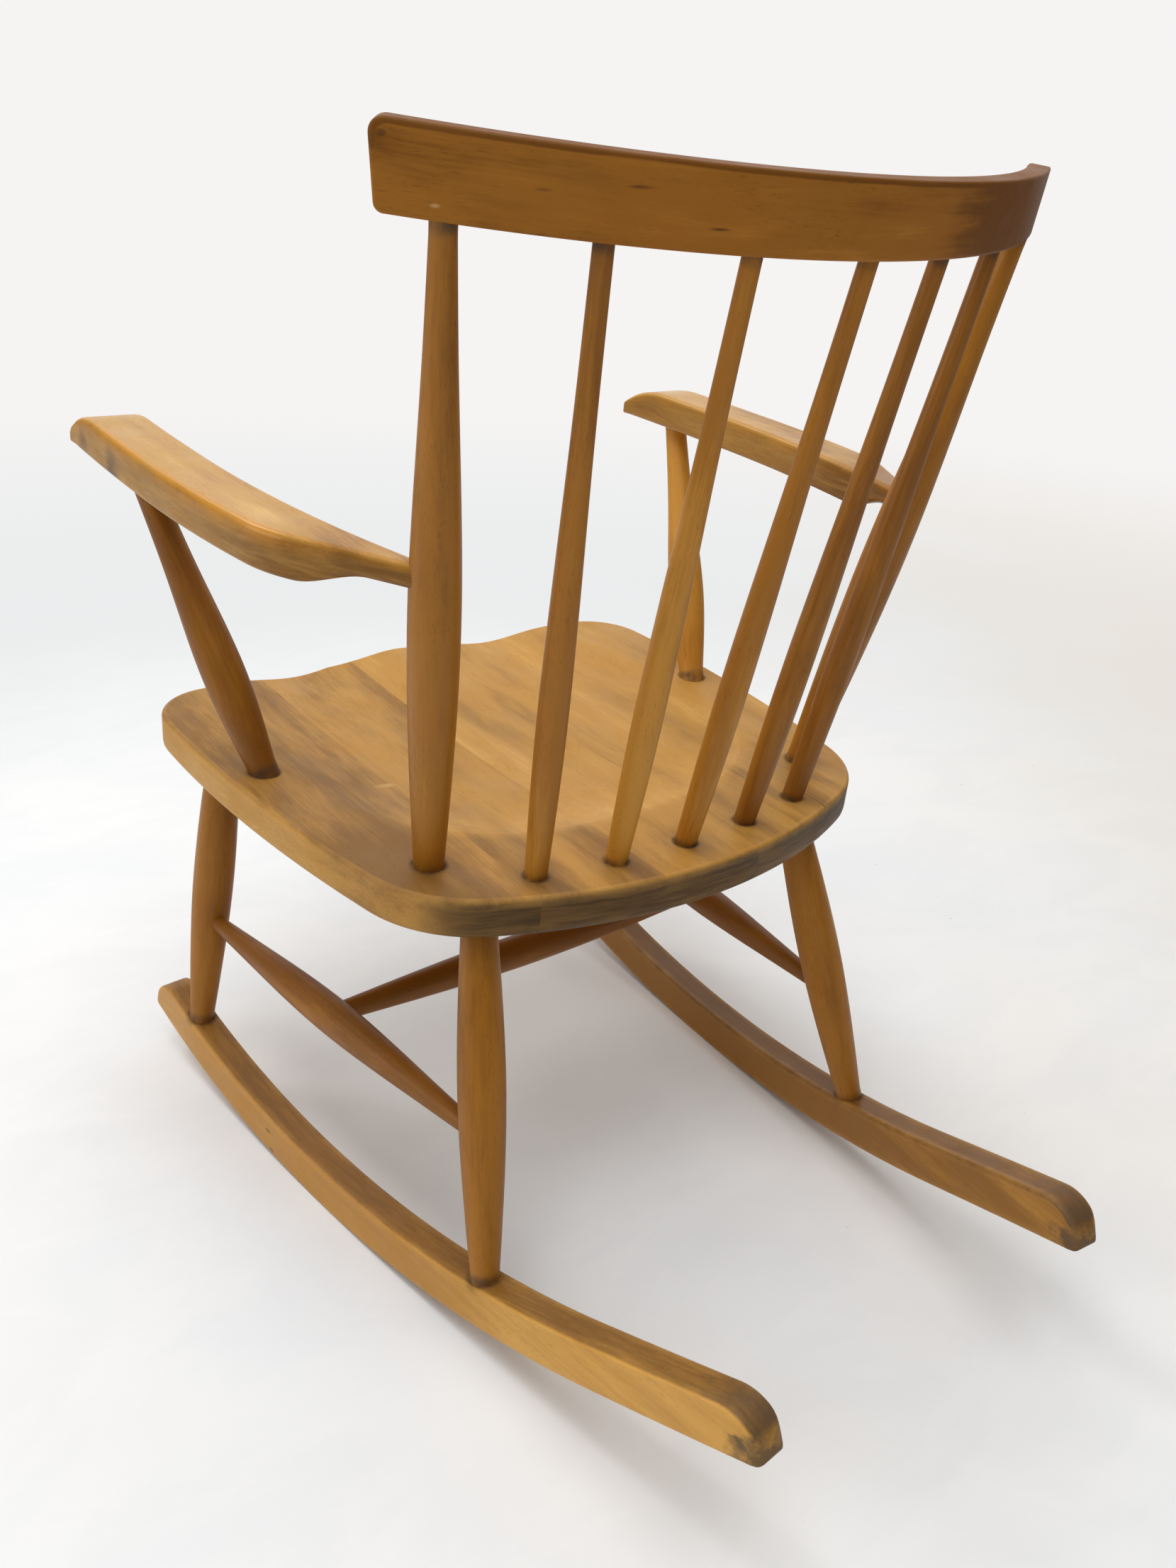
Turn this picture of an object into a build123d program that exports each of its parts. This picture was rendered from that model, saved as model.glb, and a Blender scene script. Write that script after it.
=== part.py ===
from build123d import *
import os
from math import asin, atan, cos, degrees, radians, sin, sqrt

# A rocking chair with a stick back: a curved crest rail on two posts and five spindles, a saddled
# plank seat glued up from boards, two arms on turned supports, four turned legs with an H of
# stretchers, and two curved rockers. Every stick ends in round tenons glued into bored sockets.
#
# Frame: millimetres, +X to the sitter's left, +Y to the back, +Z up. The origin is on the floor,
# midway between the rockers and midway between their tips. Left-hand pieces are drawn and the
# right-hand ones are their mirror images; only the arms and the rockers differ in length.

# Fits
SOCKET_PLAY = 0.1            # radial room round a glued tenon
SOCKET_END_ROOM = 1.0        # empty depth beyond the end of a tenon
GLUE_LINE = 0.1              # room under a shoulder that is coped to a curved face
STRAIGHT_ENTRY = 8.0         # straight length of a turned stick above the face it stands in
SHOULDER_TRIM = 9.0          # extra length of a stick before its shoulder is trimmed to the face

# Seat plank
SEAT_HEIGHT = 388.3          # top of the plank at its centre
SEAT_CENTRE_Y = -129.0
SEAT_SLOPE = 3.19            # degrees, falling to the back
SEAT_LENGTH = 504.0
SEAT_FRONT_HALF_WIDTH = 270.0
SEAT_REAR_HALF_WIDTH = 238.5
SEAT_FRONT_BOW = 20.0
SEAT_REAR_BOW = 65.5
SEAT_SIDE_BOW = 16.5
SEAT_FRONT_CORNER = 58.0
SEAT_REAR_CORNER = 105.0
SEAT_THICKNESS = 35.5
SEAT_TOP_ROUND = 3.0
SEAT_LOWER_ROUND = 9.5
INNER_BOARD_JOINT = 50.0     # glue joints of the plank, each way from the middle
OUTER_BOARD_JOINT = 152.0

# Saddle of the seat: a round dish, and a channel for each thigh that runs out over the front edge
DISH_DEPTH = 12.0
DISH_RIM_RADIUS = 215.0
DISH_CENTRE_Y = -60.0
THIGH_DEPTH = 10.0
THIGH_HALF_WIDTH = 75.0
THIGH_OFFSET = 110.0
THIGH_LENGTH = 350.0

# Rockers
ROCKER_RADIUS = 1090.0       # lower edge
ROCKER_LOWEST_Y = -91.3      # where the rockers touch the floor, under the centre of mass
ROCKER_HEIGHT = 39.5
ROCKER_WIDTH = 29.0
ROCKER_OFFSET = 225.9        # from the middle, at mid-length
ROCKER_TOE = 5.91            # degrees, wider apart in front
ROCKER_BOW_RADIUS = 6950.0   # in plan, bowed outwards
ROCKER_BOW_Y = 10.0          # middle of that bow, along the rocker
ROCKER_FRONT_SWEEP = 17.0    # degrees of arc ahead of the lowest point
ROCKER_REAR_SWEEP = 18.5     # degrees of arc behind it
LEFT_ROCKER_REAR_RUN = 161.7     # straight length behind the arc
RIGHT_ROCKER_REAR_RUN = 166.7
ROCKER_BIG_NOSE = 28.5       # upper corners
ROCKER_SMALL_NOSE = 5.5
ROCKER_ARRIS = 2.5

# Legs: foot places are measured along the rockers, head places on the underside of the seat
FRONT_LEG_FOOT_Y = -331.3
REAR_LEG_FOOT_Y = 125.1
FRONT_LEG_SIDE_INSET = 64.8
FRONT_LEG_EDGE_INSET = 43.3
REAR_LEG_SIDE_INSET = 68.4
REAR_LEG_EDGE_INSET = 80.0
LEG_FOOT_DIAMETER = 24.3
LEG_CALF_DIAMETER = 32.1
LEG_CALF_HEIGHT = 65.0
LEG_SWELL_DIAMETER = 38.5
LEG_SWELL_HEIGHT = 149.0
LEG_HEAD_DIAMETER = 28.1
LEG_TENON_DIAMETER = 22.0
LEG_TENON_DEPTH = 20.0
LEG_ROCKER_TENON_DIAMETER = 15.0
LEG_ROCKER_TENON_DEPTH = 22.0

# Stretchers
FRONT_STRETCHER_HEIGHT = 175.0   # side stretchers, above the floor, at each leg's axis
REAR_STRETCHER_HEIGHT = 170.7
STRETCHER_END_DIAMETER = 15.0
STRETCHER_SWELL_DIAMETER = 32.7
STRETCHER_TAPER_LENGTH = 74.0
STRETCHER_TAPER_DIAMETER = 21.0
STRETCHER_REACH = 6.0            # how far a stretcher's tenon passes the axis of the leg
CROSS_END_DIAMETER = 18.0
CROSS_SWELL_DIAMETER = 32.0
CROSS_REACH = 3.0

# Back posts and spindles: feet on the seat, heads in the crest rail
SPINDLE_EDGE_INSET = 37.9        # middle spindle, from the rear edge of the seat
SPINDLE_ROW_RADIUS = 613.0
SPINDLE_FOOT_SPACING = 69.0
POST_FOOT_X = 200.4
POST_FOOT_EDGE_INSET = 106.5
SEAT_TENON_DEPTH = 20.0
POST_FOOT_DIAMETER = 24.3
POST_SWELL_DIAMETER = 35.5
POST_SWELL_HEIGHT = 236.0
POST_NECK_DIAMETER = 21.4
POST_NECK_BELOW_RAIL = 77.0
POST_HEAD_DIAMETER = 16.4
POST_TENON_DIAMETER = 12.0
SPINDLE_FOOT_DIAMETER = 18.2
SPINDLE_SWELL_DIAMETER = 22.3
SPINDLE_SWELL_HEIGHT = 116.0
SPINDLE_NECK_DIAMETER = 15.1
SPINDLE_NECK_BELOW_RAIL = 111.0
SPINDLE_HEAD_DIAMETER = 13.1
RAIL_TENON_DEPTH = 22.0

# Crest rail
RAIL_BOTTOM_HEIGHT = 827.5
RAIL_MIDDLE_Y = 189.1
RAIL_LEAN = 9.47                 # degrees, to the back
RAIL_RADIUS = 487.2              # of its middle line
RAIL_THICKNESS = 18.0
RAIL_DEPTH = 48.4
RAIL_HALF_ANGLE = 36.2
RAIL_END_FLARE = 8.5             # degrees, the ends lean outwards
RAIL_TOP_CORNER = 10.0
RAIL_BOTTOM_CORNER = 5.0
RAIL_ARRIS = 3.5
POST_RAIL_ANGLE = 31.8
SPINDLE_RAIL_ANGLES = (21.1, 9.8, -1.4, -10.7, -21.1)   # from the sitter's left, spaced by eye

# Arms
ARM_HEIGHT = 637.9               # top of the arm at mid-length of the rockers
ARM_SLOPE = 4.37                 # degrees, falling to the back
ARM_THICKNESS = 31.0
ARM_WIDTH = 50.6
ARM_WIDEST_X = 291.7             # of its middle line, two flat arcs in plan
ARM_WIDEST_Y = -188.5
ARM_FRONT_RADIUS = 2900.0        # of the middle line ahead of the widest place
ARM_POST_OFFSET = 28.96          # from the post's axis out to the middle line, beside the post
LEFT_ARM_FRONT_Y = -380.0
RIGHT_ARM_FRONT_Y = -349.0
ARM_NOSE_LENGTH = 61.0
ARM_TOP_ROUND = 5.0
ARM_LOWER_ROUND = 3.0
ARM_SHOULDER_Y = -28.0           # where the outer edge turns in to the neck
ARM_SHOULDER_ROUND = 110.0
ARM_NECK_WIDTH = 12.0
ARM_NECK_THICKNESS = 17.5
ARM_SCOOP_START_Y = -10.0
ARM_SCOOP_LENGTH = 48.0
ARM_TENON_DIAMETER = 12.0
ARM_TENON_DEPTH = 13.0
ARM_TENON_TURN = 35.0            # degrees in plan, from straight outwards to the front

# Arm supports: foot on the seat, head in the underside of the arm
SUPPORT_FOOT_SIDE_INSET = 29.3
SUPPORT_FOOT_Y = -52.1           # from the seat's centre
SUPPORT_HEAD_Y = -287.0
SUPPORT_HEAD_INSET = 2.9         # inwards from the arm's middle line
SUPPORT_FOOT_DIAMETER = 24.7
SUPPORT_SWELL_DIAMETER = 35.9
SUPPORT_SWELL_HEIGHT = 82.0
SUPPORT_NECK_DIAMETER = 27.0
SUPPORT_NECK_BELOW_ARM = 91.0
SUPPORT_HEAD_DIAMETER = 21.3
SUPPORT_HEAD_DEPTH = 18.0

UP = Vector(0, 0, 1)
SKEW = Vector(1, 1, 1)           # a direction that no stick lies along
REACH_THROUGH = SEAT_LENGTH      # longer than any cut has to be


def sloping_plane(x, y, z, slope):
    """Plane through a point whose X is across the chair and whose Y runs back and down by slope degrees."""
    normal = Vector(0, sin(radians(slope)), cos(radians(slope)))
    return Plane(origin=(x, y, z), x_dir=(1, 0, 0), z_dir=normal)


def place(plane, x, y, z=0.0):
    """World position of a point given in a plane's own coordinates."""
    return plane.from_local_coords(Vector(x, y, z))


def bulge_point(start, end, bow):
    """Middle of a flat arc that bows out by bow to the right of the chord from start to end."""
    chord = Vector(*end) - Vector(*start)
    outwards = Vector(chord.Y, -chord.X).normalized()
    middle = (Vector(*start) + Vector(*end)) * 0.5 + outwards * bow
    return (middle.X, middle.Y)


def turning_plane(foot, head):
    """Drawing plane of a turned stick: its X runs up the axis from the foot."""
    axis = (head - foot).normalized()
    return Plane(origin=foot, x_dir=axis, z_dir=axis.cross(SKEW))


def point_on_axis(foot, head, height):
    """Point of the line from foot to head at a height above the floor."""
    return foot + (head - foot) * ((height - foot.Z) / (head.Z - foot.Z))


def round_bar(turning, diameter, start, end, mode=Mode.ADD):
    """Straight round bar about a turning axis, between two distances along it."""
    with BuildSketch(Plane(origin=turning.origin + turning.x_dir * start, z_dir=turning.x_dir)) as section:
        Circle(diameter / 2)
    extrude(section.sketch, amount=end - start, mode=mode)


def socket(turning, diameter, start, end):
    """Bored hole for a round tenon, with the glued fit's radial room."""
    round_bar(turning, diameter + 2 * SOCKET_PLAY, start, end, mode=Mode.SUBTRACT)


def turned_stick(turning, stations, foot_run, head_run):
    """Solid turned through (distance, diameter) stations, run on straight past the first and the last."""
    outline = [(distance, diameter / 2) for distance, diameter in stations]
    low, low_radius = outline[0]
    high, high_radius = outline[-1]
    with BuildPart() as stick:
        with BuildSketch(turning):
            with BuildLine():
                Spline(*outline)
                Polyline(
                    (high, high_radius),
                    (high + head_run, high_radius),
                    (high + head_run, 0),
                    (low - foot_run, 0),
                    (low - foot_run, low_radius),
                    (low, low_radius),
                )
            make_face()
        revolve(axis=Axis(turning.origin, turning.x_dir))
    return stick.part


# Reference planes and the places where the pieces meet
seat_top = sloping_plane(0, SEAT_CENTRE_Y, SEAT_HEIGHT, SEAT_SLOPE)
seat_underside = seat_top.offset(-SEAT_THICKNESS)
arm_top = sloping_plane(0, 0, ARM_HEIGHT, ARM_SLOPE)
arm_underside = arm_top.offset(-ARM_THICKNESS)
rail_bottom = sloping_plane(0, RAIL_MIDDLE_Y, RAIL_BOTTOM_HEIGHT, RAIL_LEAN)

rocker_along = Vector(-sin(radians(ROCKER_TOE)), cos(radians(ROCKER_TOE)), 0)
rocker_plane = Plane(origin=(ROCKER_OFFSET, 0, 0), x_dir=rocker_along, z_dir=rocker_along.cross(UP))
ROCKER_TOP_RADIUS = ROCKER_RADIUS - ROCKER_HEIGHT


def rocker_top_point(along):
    """Point on the middle of a rocker's top, at a distance along the rocker."""
    drop = sqrt(ROCKER_TOP_RADIUS**2 - (along - ROCKER_LOWEST_Y) ** 2)
    bow = sqrt(ROCKER_BOW_RADIUS**2 - (along - ROCKER_BOW_Y) ** 2) - ROCKER_BOW_RADIUS
    return place(rocker_plane, along, ROCKER_RADIUS - drop, bow)


def rail_point(angle):
    """Point on the middle line of the crest rail's lower face."""
    turn = radians(angle)
    return place(rail_bottom, RAIL_RADIUS * sin(turn), RAIL_RADIUS * (cos(turn) - 1))


def arm_middle_x(y):
    """Middle line of the front half of the arm in plan."""
    return ARM_WIDEST_X - ARM_FRONT_RADIUS + sqrt(ARM_FRONT_RADIUS**2 - (y - ARM_WIDEST_Y) ** 2)


def spindle_foot(row_x):
    """Foot of a spindle on the bowed row near the rear edge of the seat."""
    row_y = SEAT_LENGTH / 2 - SPINDLE_EDGE_INSET - SPINDLE_ROW_RADIUS
    return place(seat_top, row_x, row_y + sqrt(SPINDLE_ROW_RADIUS**2 - row_x**2))


front_leg_head = place(
    seat_underside, SEAT_FRONT_HALF_WIDTH - FRONT_LEG_SIDE_INSET, FRONT_LEG_EDGE_INSET - SEAT_LENGTH / 2
)
rear_leg_head = place(
    seat_underside, SEAT_REAR_HALF_WIDTH - REAR_LEG_SIDE_INSET, SEAT_LENGTH / 2 - REAR_LEG_EDGE_INSET
)
front_leg_foot = rocker_top_point(FRONT_LEG_FOOT_Y)
rear_leg_foot = rocker_top_point(REAR_LEG_FOOT_Y)
front_joint = point_on_axis(front_leg_foot, front_leg_head, FRONT_STRETCHER_HEIGHT)
rear_joint = point_on_axis(rear_leg_foot, rear_leg_head, REAR_STRETCHER_HEIGHT)
left_middle = (front_joint + rear_joint) * 0.5
right_middle = Vector(-left_middle.X, left_middle.Y, left_middle.Z)

post_foot = place(seat_top, POST_FOOT_X, SEAT_LENGTH / 2 - POST_FOOT_EDGE_INSET)
post_head = rail_point(POST_RAIL_ANGLE)

# The arm's neck enters the post where the post is thickest, aimed at the post's axis. The rear half of the
# arm's middle line is the flat arc through its widest point and the point beside the post.
neck_height = ARM_HEIGHT - ARM_NECK_THICKNESS / 2 - post_foot.Y * sin(radians(ARM_SLOPE))
neck_target = point_on_axis(post_foot, post_head, neck_height)
tenon_direction = Vector(cos(radians(ARM_TENON_TURN)), -sin(radians(ARM_TENON_TURN)), 0)
arm_tenon_turning = turning_plane(neck_target, neck_target + tenon_direction)
arm_spread = ARM_WIDEST_X - neck_target.X - ARM_POST_OFFSET
arm_run = neck_target.Y - ARM_WIDEST_Y
arm_rear_radius = (arm_spread**2 + arm_run**2) / (2 * arm_spread)

support_foot = place(seat_top, SEAT_FRONT_HALF_WIDTH - SUPPORT_FOOT_SIDE_INSET, SUPPORT_FOOT_Y)
support_head_x = arm_middle_x(SUPPORT_HEAD_Y) - SUPPORT_HEAD_INSET
support_head = place(arm_underside, support_head_x, SUPPORT_HEAD_Y / cos(radians(ARM_SLOPE)))

front_leg_turning = turning_plane(front_leg_foot, front_leg_head)
rear_leg_turning = turning_plane(rear_leg_foot, rear_leg_head)
side_stretcher_turning = turning_plane(front_joint, rear_joint)
cross_stretcher_turning = turning_plane(right_middle, left_middle)
post_turning = turning_plane(post_foot, post_head)
support_turning = turning_plane(support_foot, support_head)
front_leg_length = (front_leg_head - front_leg_foot).length
rear_leg_length = (rear_leg_head - rear_leg_foot).length
side_stretcher_length = (rear_joint - front_joint).length
cross_stretcher_length = (left_middle - right_middle).length
post_length = (post_head - post_foot).length
support_length = (support_head - support_foot).length

# The spindles stand in a row from the sitter's left to the sitter's right
spindle_feet = [spindle_foot(SPINDLE_FOOT_SPACING * step) for step in (2, 1, 0, -1, -2)]
spindle_heads = [rail_point(angle) for angle in SPINDLE_RAIL_ANGLES]
spindle_turnings = [turning_plane(foot, head) for foot, head in zip(spindle_feet, spindle_heads)]
spindle_lengths = [(head - foot).length for foot, head in zip(spindle_feet, spindle_heads)]


def mirrored(piece):
    """Right-hand twin of a left-hand piece."""
    with BuildPart() as twin:
        mirror(piece, about=Plane.YZ)
    return twin.part


def save(piece, name):
    """Label a finished piece and write its file."""
    piece.label = name
    export_step(piece, f"parts/{name}.step")


def seat_outline():
    """Plan of the seat: four flat arcs with rounded corners."""
    front_y = -SEAT_LENGTH / 2 + SEAT_FRONT_BOW
    rear_y = SEAT_LENGTH / 2 - SEAT_REAR_BOW
    front_left = (SEAT_FRONT_HALF_WIDTH, front_y)
    rear_left = (SEAT_REAR_HALF_WIDTH, rear_y)
    front_right = (-SEAT_FRONT_HALF_WIDTH, front_y)
    rear_right = (-SEAT_REAR_HALF_WIDTH, rear_y)
    with BuildSketch(seat_top) as outline:
        with BuildLine():
            ThreePointArc(front_right, (0, -SEAT_LENGTH / 2), front_left)
            ThreePointArc(front_left, bulge_point(front_left, rear_left, SEAT_SIDE_BOW), rear_left)
            ThreePointArc(rear_left, (0, SEAT_LENGTH / 2), rear_right)
            ThreePointArc(rear_right, bulge_point(rear_right, front_right, SEAT_SIDE_BOW), front_right)
        make_face()
        fillet(outline.vertices().group_by(Axis.Y)[0], SEAT_FRONT_CORNER)
        fillet(outline.vertices().group_by(Axis.Y)[-1], SEAT_REAR_CORNER)
    return outline.sketch


def seat_plank():
    """The whole seat before it is parted into its boards, saddled and bored."""
    dish_radius = (DISH_RIM_RADIUS**2 + DISH_DEPTH**2) / (2 * DISH_DEPTH)
    thigh_radius = (THIGH_HALF_WIDTH**2 + THIGH_DEPTH**2) / (2 * THIGH_DEPTH)
    thigh_rise = degrees(atan(THIGH_DEPTH / THIGH_LENGTH))
    with BuildPart() as plank:
        extrude(seat_outline(), amount=-SEAT_THICKNESS)
        fillet(plank.faces().sort_by(Axis.Z)[-1].edges(), SEAT_TOP_ROUND)
        fillet(plank.faces().sort_by(Axis.Z)[0].edges(), SEAT_LOWER_ROUND)
        with Locations(seat_top.offset(dish_radius - DISH_DEPTH)):
            with Locations((0, DISH_CENTRE_Y)):
                Sphere(dish_radius, rotation=(90, 0, 0), mode=Mode.SUBTRACT)
        for across in (-THIGH_OFFSET, THIGH_OFFSET):
            floor_point = place(seat_top, across, -SEAT_LENGTH / 2, -THIGH_DEPTH)
            channel = sloping_plane(*floor_point, SEAT_SLOPE - thigh_rise)
            with BuildSketch(Plane(origin=floor_point, x_dir=(1, 0, 0), z_dir=-channel.y_dir)) as section:
                with Locations((0, thigh_radius)):
                    Circle(thigh_radius)
            extrude(section.sketch, amount=THIGH_LENGTH, both=True, mode=Mode.SUBTRACT)
        bore_seat_top()
        bore_seat_underside()
    return plank.part


def bore_seat_top():
    """Sockets in the top of the seat for the spindles, the posts and the arm supports."""
    depth = -SEAT_TENON_DEPTH - SOCKET_END_ROOM
    for turning in spindle_turnings:
        socket(turning, SPINDLE_FOOT_DIAMETER, depth, STRAIGHT_ENTRY)
    for foot, head, diameter in (
        (post_foot, post_head, POST_FOOT_DIAMETER),
        (support_foot, support_head, SUPPORT_FOOT_DIAMETER),
    ):
        for side in (1, -1):
            socket(sided_turning(foot, head, side), diameter, depth, STRAIGHT_ENTRY)


def bore_seat_underside():
    """Sockets in the underside of the seat for the legs."""
    for foot, head in ((front_leg_foot, front_leg_head), (rear_leg_foot, rear_leg_head)):
        length = (head - foot).length
        for side in (1, -1):
            turning = sided_turning(foot, head, side)
            far = length + LEG_TENON_DEPTH + SOCKET_END_ROOM
            socket(turning, LEG_TENON_DIAMETER, length - STRAIGHT_ENTRY, far)


def sided_turning(foot, head, side):
    """Turning axis of a left-hand stick, or of its right-hand twin where side is -1."""
    return turning_plane(Vector(side * foot.X, foot.Y, foot.Z), Vector(side * head.X, head.Y, head.Z))


def seat_board(plank, low_x, high_x):
    """One board of the plank, between two glue joints."""
    with BuildPart() as board:
        add(plank)
        with Locations(((low_x + high_x) / 2, SEAT_CENTRE_Y, SEAT_HEIGHT)):
            Box(high_x - low_x, 2 * SEAT_LENGTH, SEAT_LENGTH, mode=Mode.INTERSECT)
    return board.part


def rocker(rear_run):
    """Rocker on the left: two concentric arcs run out straight behind, bowed in plan, with rounded noses."""
    first = 270 - ROCKER_FRONT_SWEEP
    sweep = ROCKER_FRONT_SWEEP + ROCKER_REAR_SWEEP
    centre = (ROCKER_LOWEST_Y, ROCKER_RADIUS)
    plan = Plane(origin=rocker_plane.origin, x_dir=rocker_along, z_dir=UP)
    with BuildPart() as strip:
        with BuildSketch(rocker_plane) as side:
            with BuildLine():
                lower = CenterArc(centre, ROCKER_RADIUS, first, sweep)
                upper = CenterArc(centre, ROCKER_TOP_RADIUS, first, sweep)
                run = (lower % 1) * rear_run
                Line(lower @ 0, upper @ 0)
                Polyline(lower @ 1, lower @ 1 + run, upper @ 1 + run, upper @ 1)
            make_face()
            front = side.vertices().sort_by(Axis.X)[:2].sort_by(Axis.Y)
            rear = side.vertices().sort_by(Axis.X)[-2:].sort_by(Axis.Y)
            fillet([front[-1], rear[-1]], ROCKER_BIG_NOSE)
            small = [v for v in side.vertices() if is_square_corner(v, front[0], rear[0])]
            fillet(small, ROCKER_SMALL_NOSE)
        extrude(amount=ROCKER_WIDTH, both=True)
        with BuildSketch(plan) as band:
            with Locations((ROCKER_BOW_Y, ROCKER_BOW_RADIUS)):
                Circle(ROCKER_BOW_RADIUS + ROCKER_WIDTH / 2)
                Circle(ROCKER_BOW_RADIUS - ROCKER_WIDTH / 2, mode=Mode.SUBTRACT)
        extrude(band.sketch, amount=REACH_THROUGH, mode=Mode.INTERSECT)
        flanks = strip.faces().sort_by(SortBy.AREA)[-2:]
        fillet(flanks.edges(), ROCKER_ARRIS)
        for turning in (front_leg_turning, rear_leg_turning):
            depth = -LEG_ROCKER_TENON_DEPTH - SOCKET_END_ROOM
            socket(turning, LEG_ROCKER_TENON_DIAMETER, depth, SHOULDER_TRIM)
    return strip.part


def is_square_corner(vertex, *corners):
    """Whether a vertex still stands at one of the corners."""
    return any((vertex.center() - corner.center()).length < SOCKET_PLAY for corner in corners)


def leg(turning, length, joint):
    """Turned leg, coped to its rocker, shouldered under the seat, with the side stretcher's socket."""
    stations = (
        (STRAIGHT_ENTRY, LEG_FOOT_DIAMETER),
        (LEG_CALF_HEIGHT, LEG_CALF_DIAMETER),
        (LEG_SWELL_HEIGHT, LEG_SWELL_DIAMETER),
        (length - STRAIGHT_ENTRY, LEG_HEAD_DIAMETER),
    )
    with BuildPart() as piece:
        add(turned_stick(turning, stations, STRAIGHT_ENTRY + SHOULDER_TRIM, STRAIGHT_ENTRY + SHOULDER_TRIM))
        split(bisect_by=seat_underside, keep=Keep.BOTTOM)
        with BuildSketch(rocker_plane) as above_rocker:
            with Locations((ROCKER_LOWEST_Y, ROCKER_RADIUS)):
                Circle(ROCKER_TOP_RADIUS - GLUE_LINE)
        extrude(above_rocker.sketch, amount=REACH_THROUGH, both=True, mode=Mode.INTERSECT)
        round_bar(turning, LEG_TENON_DIAMETER, length - SHOULDER_TRIM, length + LEG_TENON_DEPTH)
        round_bar(turning, LEG_ROCKER_TENON_DIAMETER, -LEG_ROCKER_TENON_DEPTH, SHOULDER_TRIM)
        stretcher = turning_plane(joint, left_middle)
        reach = STRETCHER_REACH + SOCKET_END_ROOM
        socket(stretcher, STRETCHER_END_DIAMETER, -reach, LEG_SWELL_DIAMETER)
    return piece.part


def side_stretcher():
    """Turned rail between the left legs, thickest at mid-length, where the cross stretcher enters."""
    half = side_stretcher_length / 2
    entry = LEG_SWELL_DIAMETER / 2 + SOCKET_END_ROOM
    stations = (
        (entry, STRETCHER_END_DIAMETER),
        (STRETCHER_TAPER_LENGTH, STRETCHER_TAPER_DIAMETER),
        (half, STRETCHER_SWELL_DIAMETER),
        (side_stretcher_length - STRETCHER_TAPER_LENGTH, STRETCHER_TAPER_DIAMETER),
        (side_stretcher_length - entry, STRETCHER_END_DIAMETER),
    )
    run = entry + STRETCHER_REACH
    with BuildPart() as piece:
        add(turned_stick(side_stretcher_turning, stations, run, run))
        cross = turning_plane(left_middle, right_middle)
        socket(cross, CROSS_END_DIAMETER, -CROSS_REACH - SOCKET_END_ROOM, STRETCHER_SWELL_DIAMETER)
    return piece.part


def cross_stretcher():
    """Turned bar between the side stretchers, thickest at mid-length."""
    entry = STRETCHER_SWELL_DIAMETER / 2 + SOCKET_END_ROOM
    stations = (
        (entry, CROSS_END_DIAMETER),
        (cross_stretcher_length / 2, CROSS_SWELL_DIAMETER),
        (cross_stretcher_length - entry, CROSS_END_DIAMETER),
    )
    return turned_stick(cross_stretcher_turning, stations, entry + CROSS_REACH, entry + CROSS_REACH)


def back_post():
    """Left back post: into the seat below, shouldered under the crest rail, bored for the arm's tenon."""
    stations = (
        (STRAIGHT_ENTRY, POST_FOOT_DIAMETER),
        (POST_SWELL_HEIGHT, POST_SWELL_DIAMETER),
        (post_length - POST_NECK_BELOW_RAIL, POST_NECK_DIAMETER),
        (post_length - STRAIGHT_ENTRY, POST_HEAD_DIAMETER),
    )
    foot_run = STRAIGHT_ENTRY + SEAT_TENON_DEPTH
    tenon_far = post_length + RAIL_TENON_DEPTH
    with BuildPart() as post:
        add(turned_stick(post_turning, stations, foot_run, STRAIGHT_ENTRY + SHOULDER_TRIM))
        split(bisect_by=rail_bottom, keep=Keep.BOTTOM)
        round_bar(post_turning, POST_TENON_DIAMETER, post_length - SHOULDER_TRIM, tenon_far)
        tenon_end = POST_SWELL_DIAMETER / 2 - ARM_TENON_DEPTH - SOCKET_END_ROOM
        socket(arm_tenon_turning, ARM_TENON_DIAMETER, tenon_end, POST_SWELL_DIAMETER)
    return post.part


def spindle(turning, length):
    """Back spindle, its ends let into the seat and the crest rail at their full diameter."""
    stations = (
        (STRAIGHT_ENTRY, SPINDLE_FOOT_DIAMETER),
        (SPINDLE_SWELL_HEIGHT, SPINDLE_SWELL_DIAMETER),
        (length - SPINDLE_NECK_BELOW_RAIL, SPINDLE_NECK_DIAMETER),
        (length - STRAIGHT_ENTRY, SPINDLE_HEAD_DIAMETER),
    )
    head_run = STRAIGHT_ENTRY + RAIL_TENON_DEPTH
    return turned_stick(turning, stations, STRAIGHT_ENTRY + SEAT_TENON_DEPTH, head_run)


def arm_support():
    """Left arm support, its ends let into the seat and the arm at their full diameter."""
    stations = (
        (STRAIGHT_ENTRY, SUPPORT_FOOT_DIAMETER),
        (SUPPORT_SWELL_HEIGHT, SUPPORT_SWELL_DIAMETER),
        (support_length - SUPPORT_NECK_BELOW_ARM, SUPPORT_NECK_DIAMETER),
        (support_length - STRAIGHT_ENTRY, SUPPORT_HEAD_DIAMETER),
    )
    head_run = STRAIGHT_ENTRY + SUPPORT_HEAD_DEPTH
    return turned_stick(support_turning, stations, STRAIGHT_ENTRY + SEAT_TENON_DEPTH, head_run)


def rail_end_plane(side):
    """Plane of a slanted end of the crest rail, facing outwards."""
    turn = radians(RAIL_HALF_ANGLE)
    flare = radians(RAIL_END_FLARE)
    tangent = rail_bottom.x_dir * (side * cos(turn)) - rail_bottom.y_dir * sin(turn)
    outwards = tangent * cos(flare) - rail_bottom.z_dir * sin(flare)
    return Plane(origin=rail_point(side * RAIL_HALF_ANGLE), z_dir=outwards)


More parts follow.
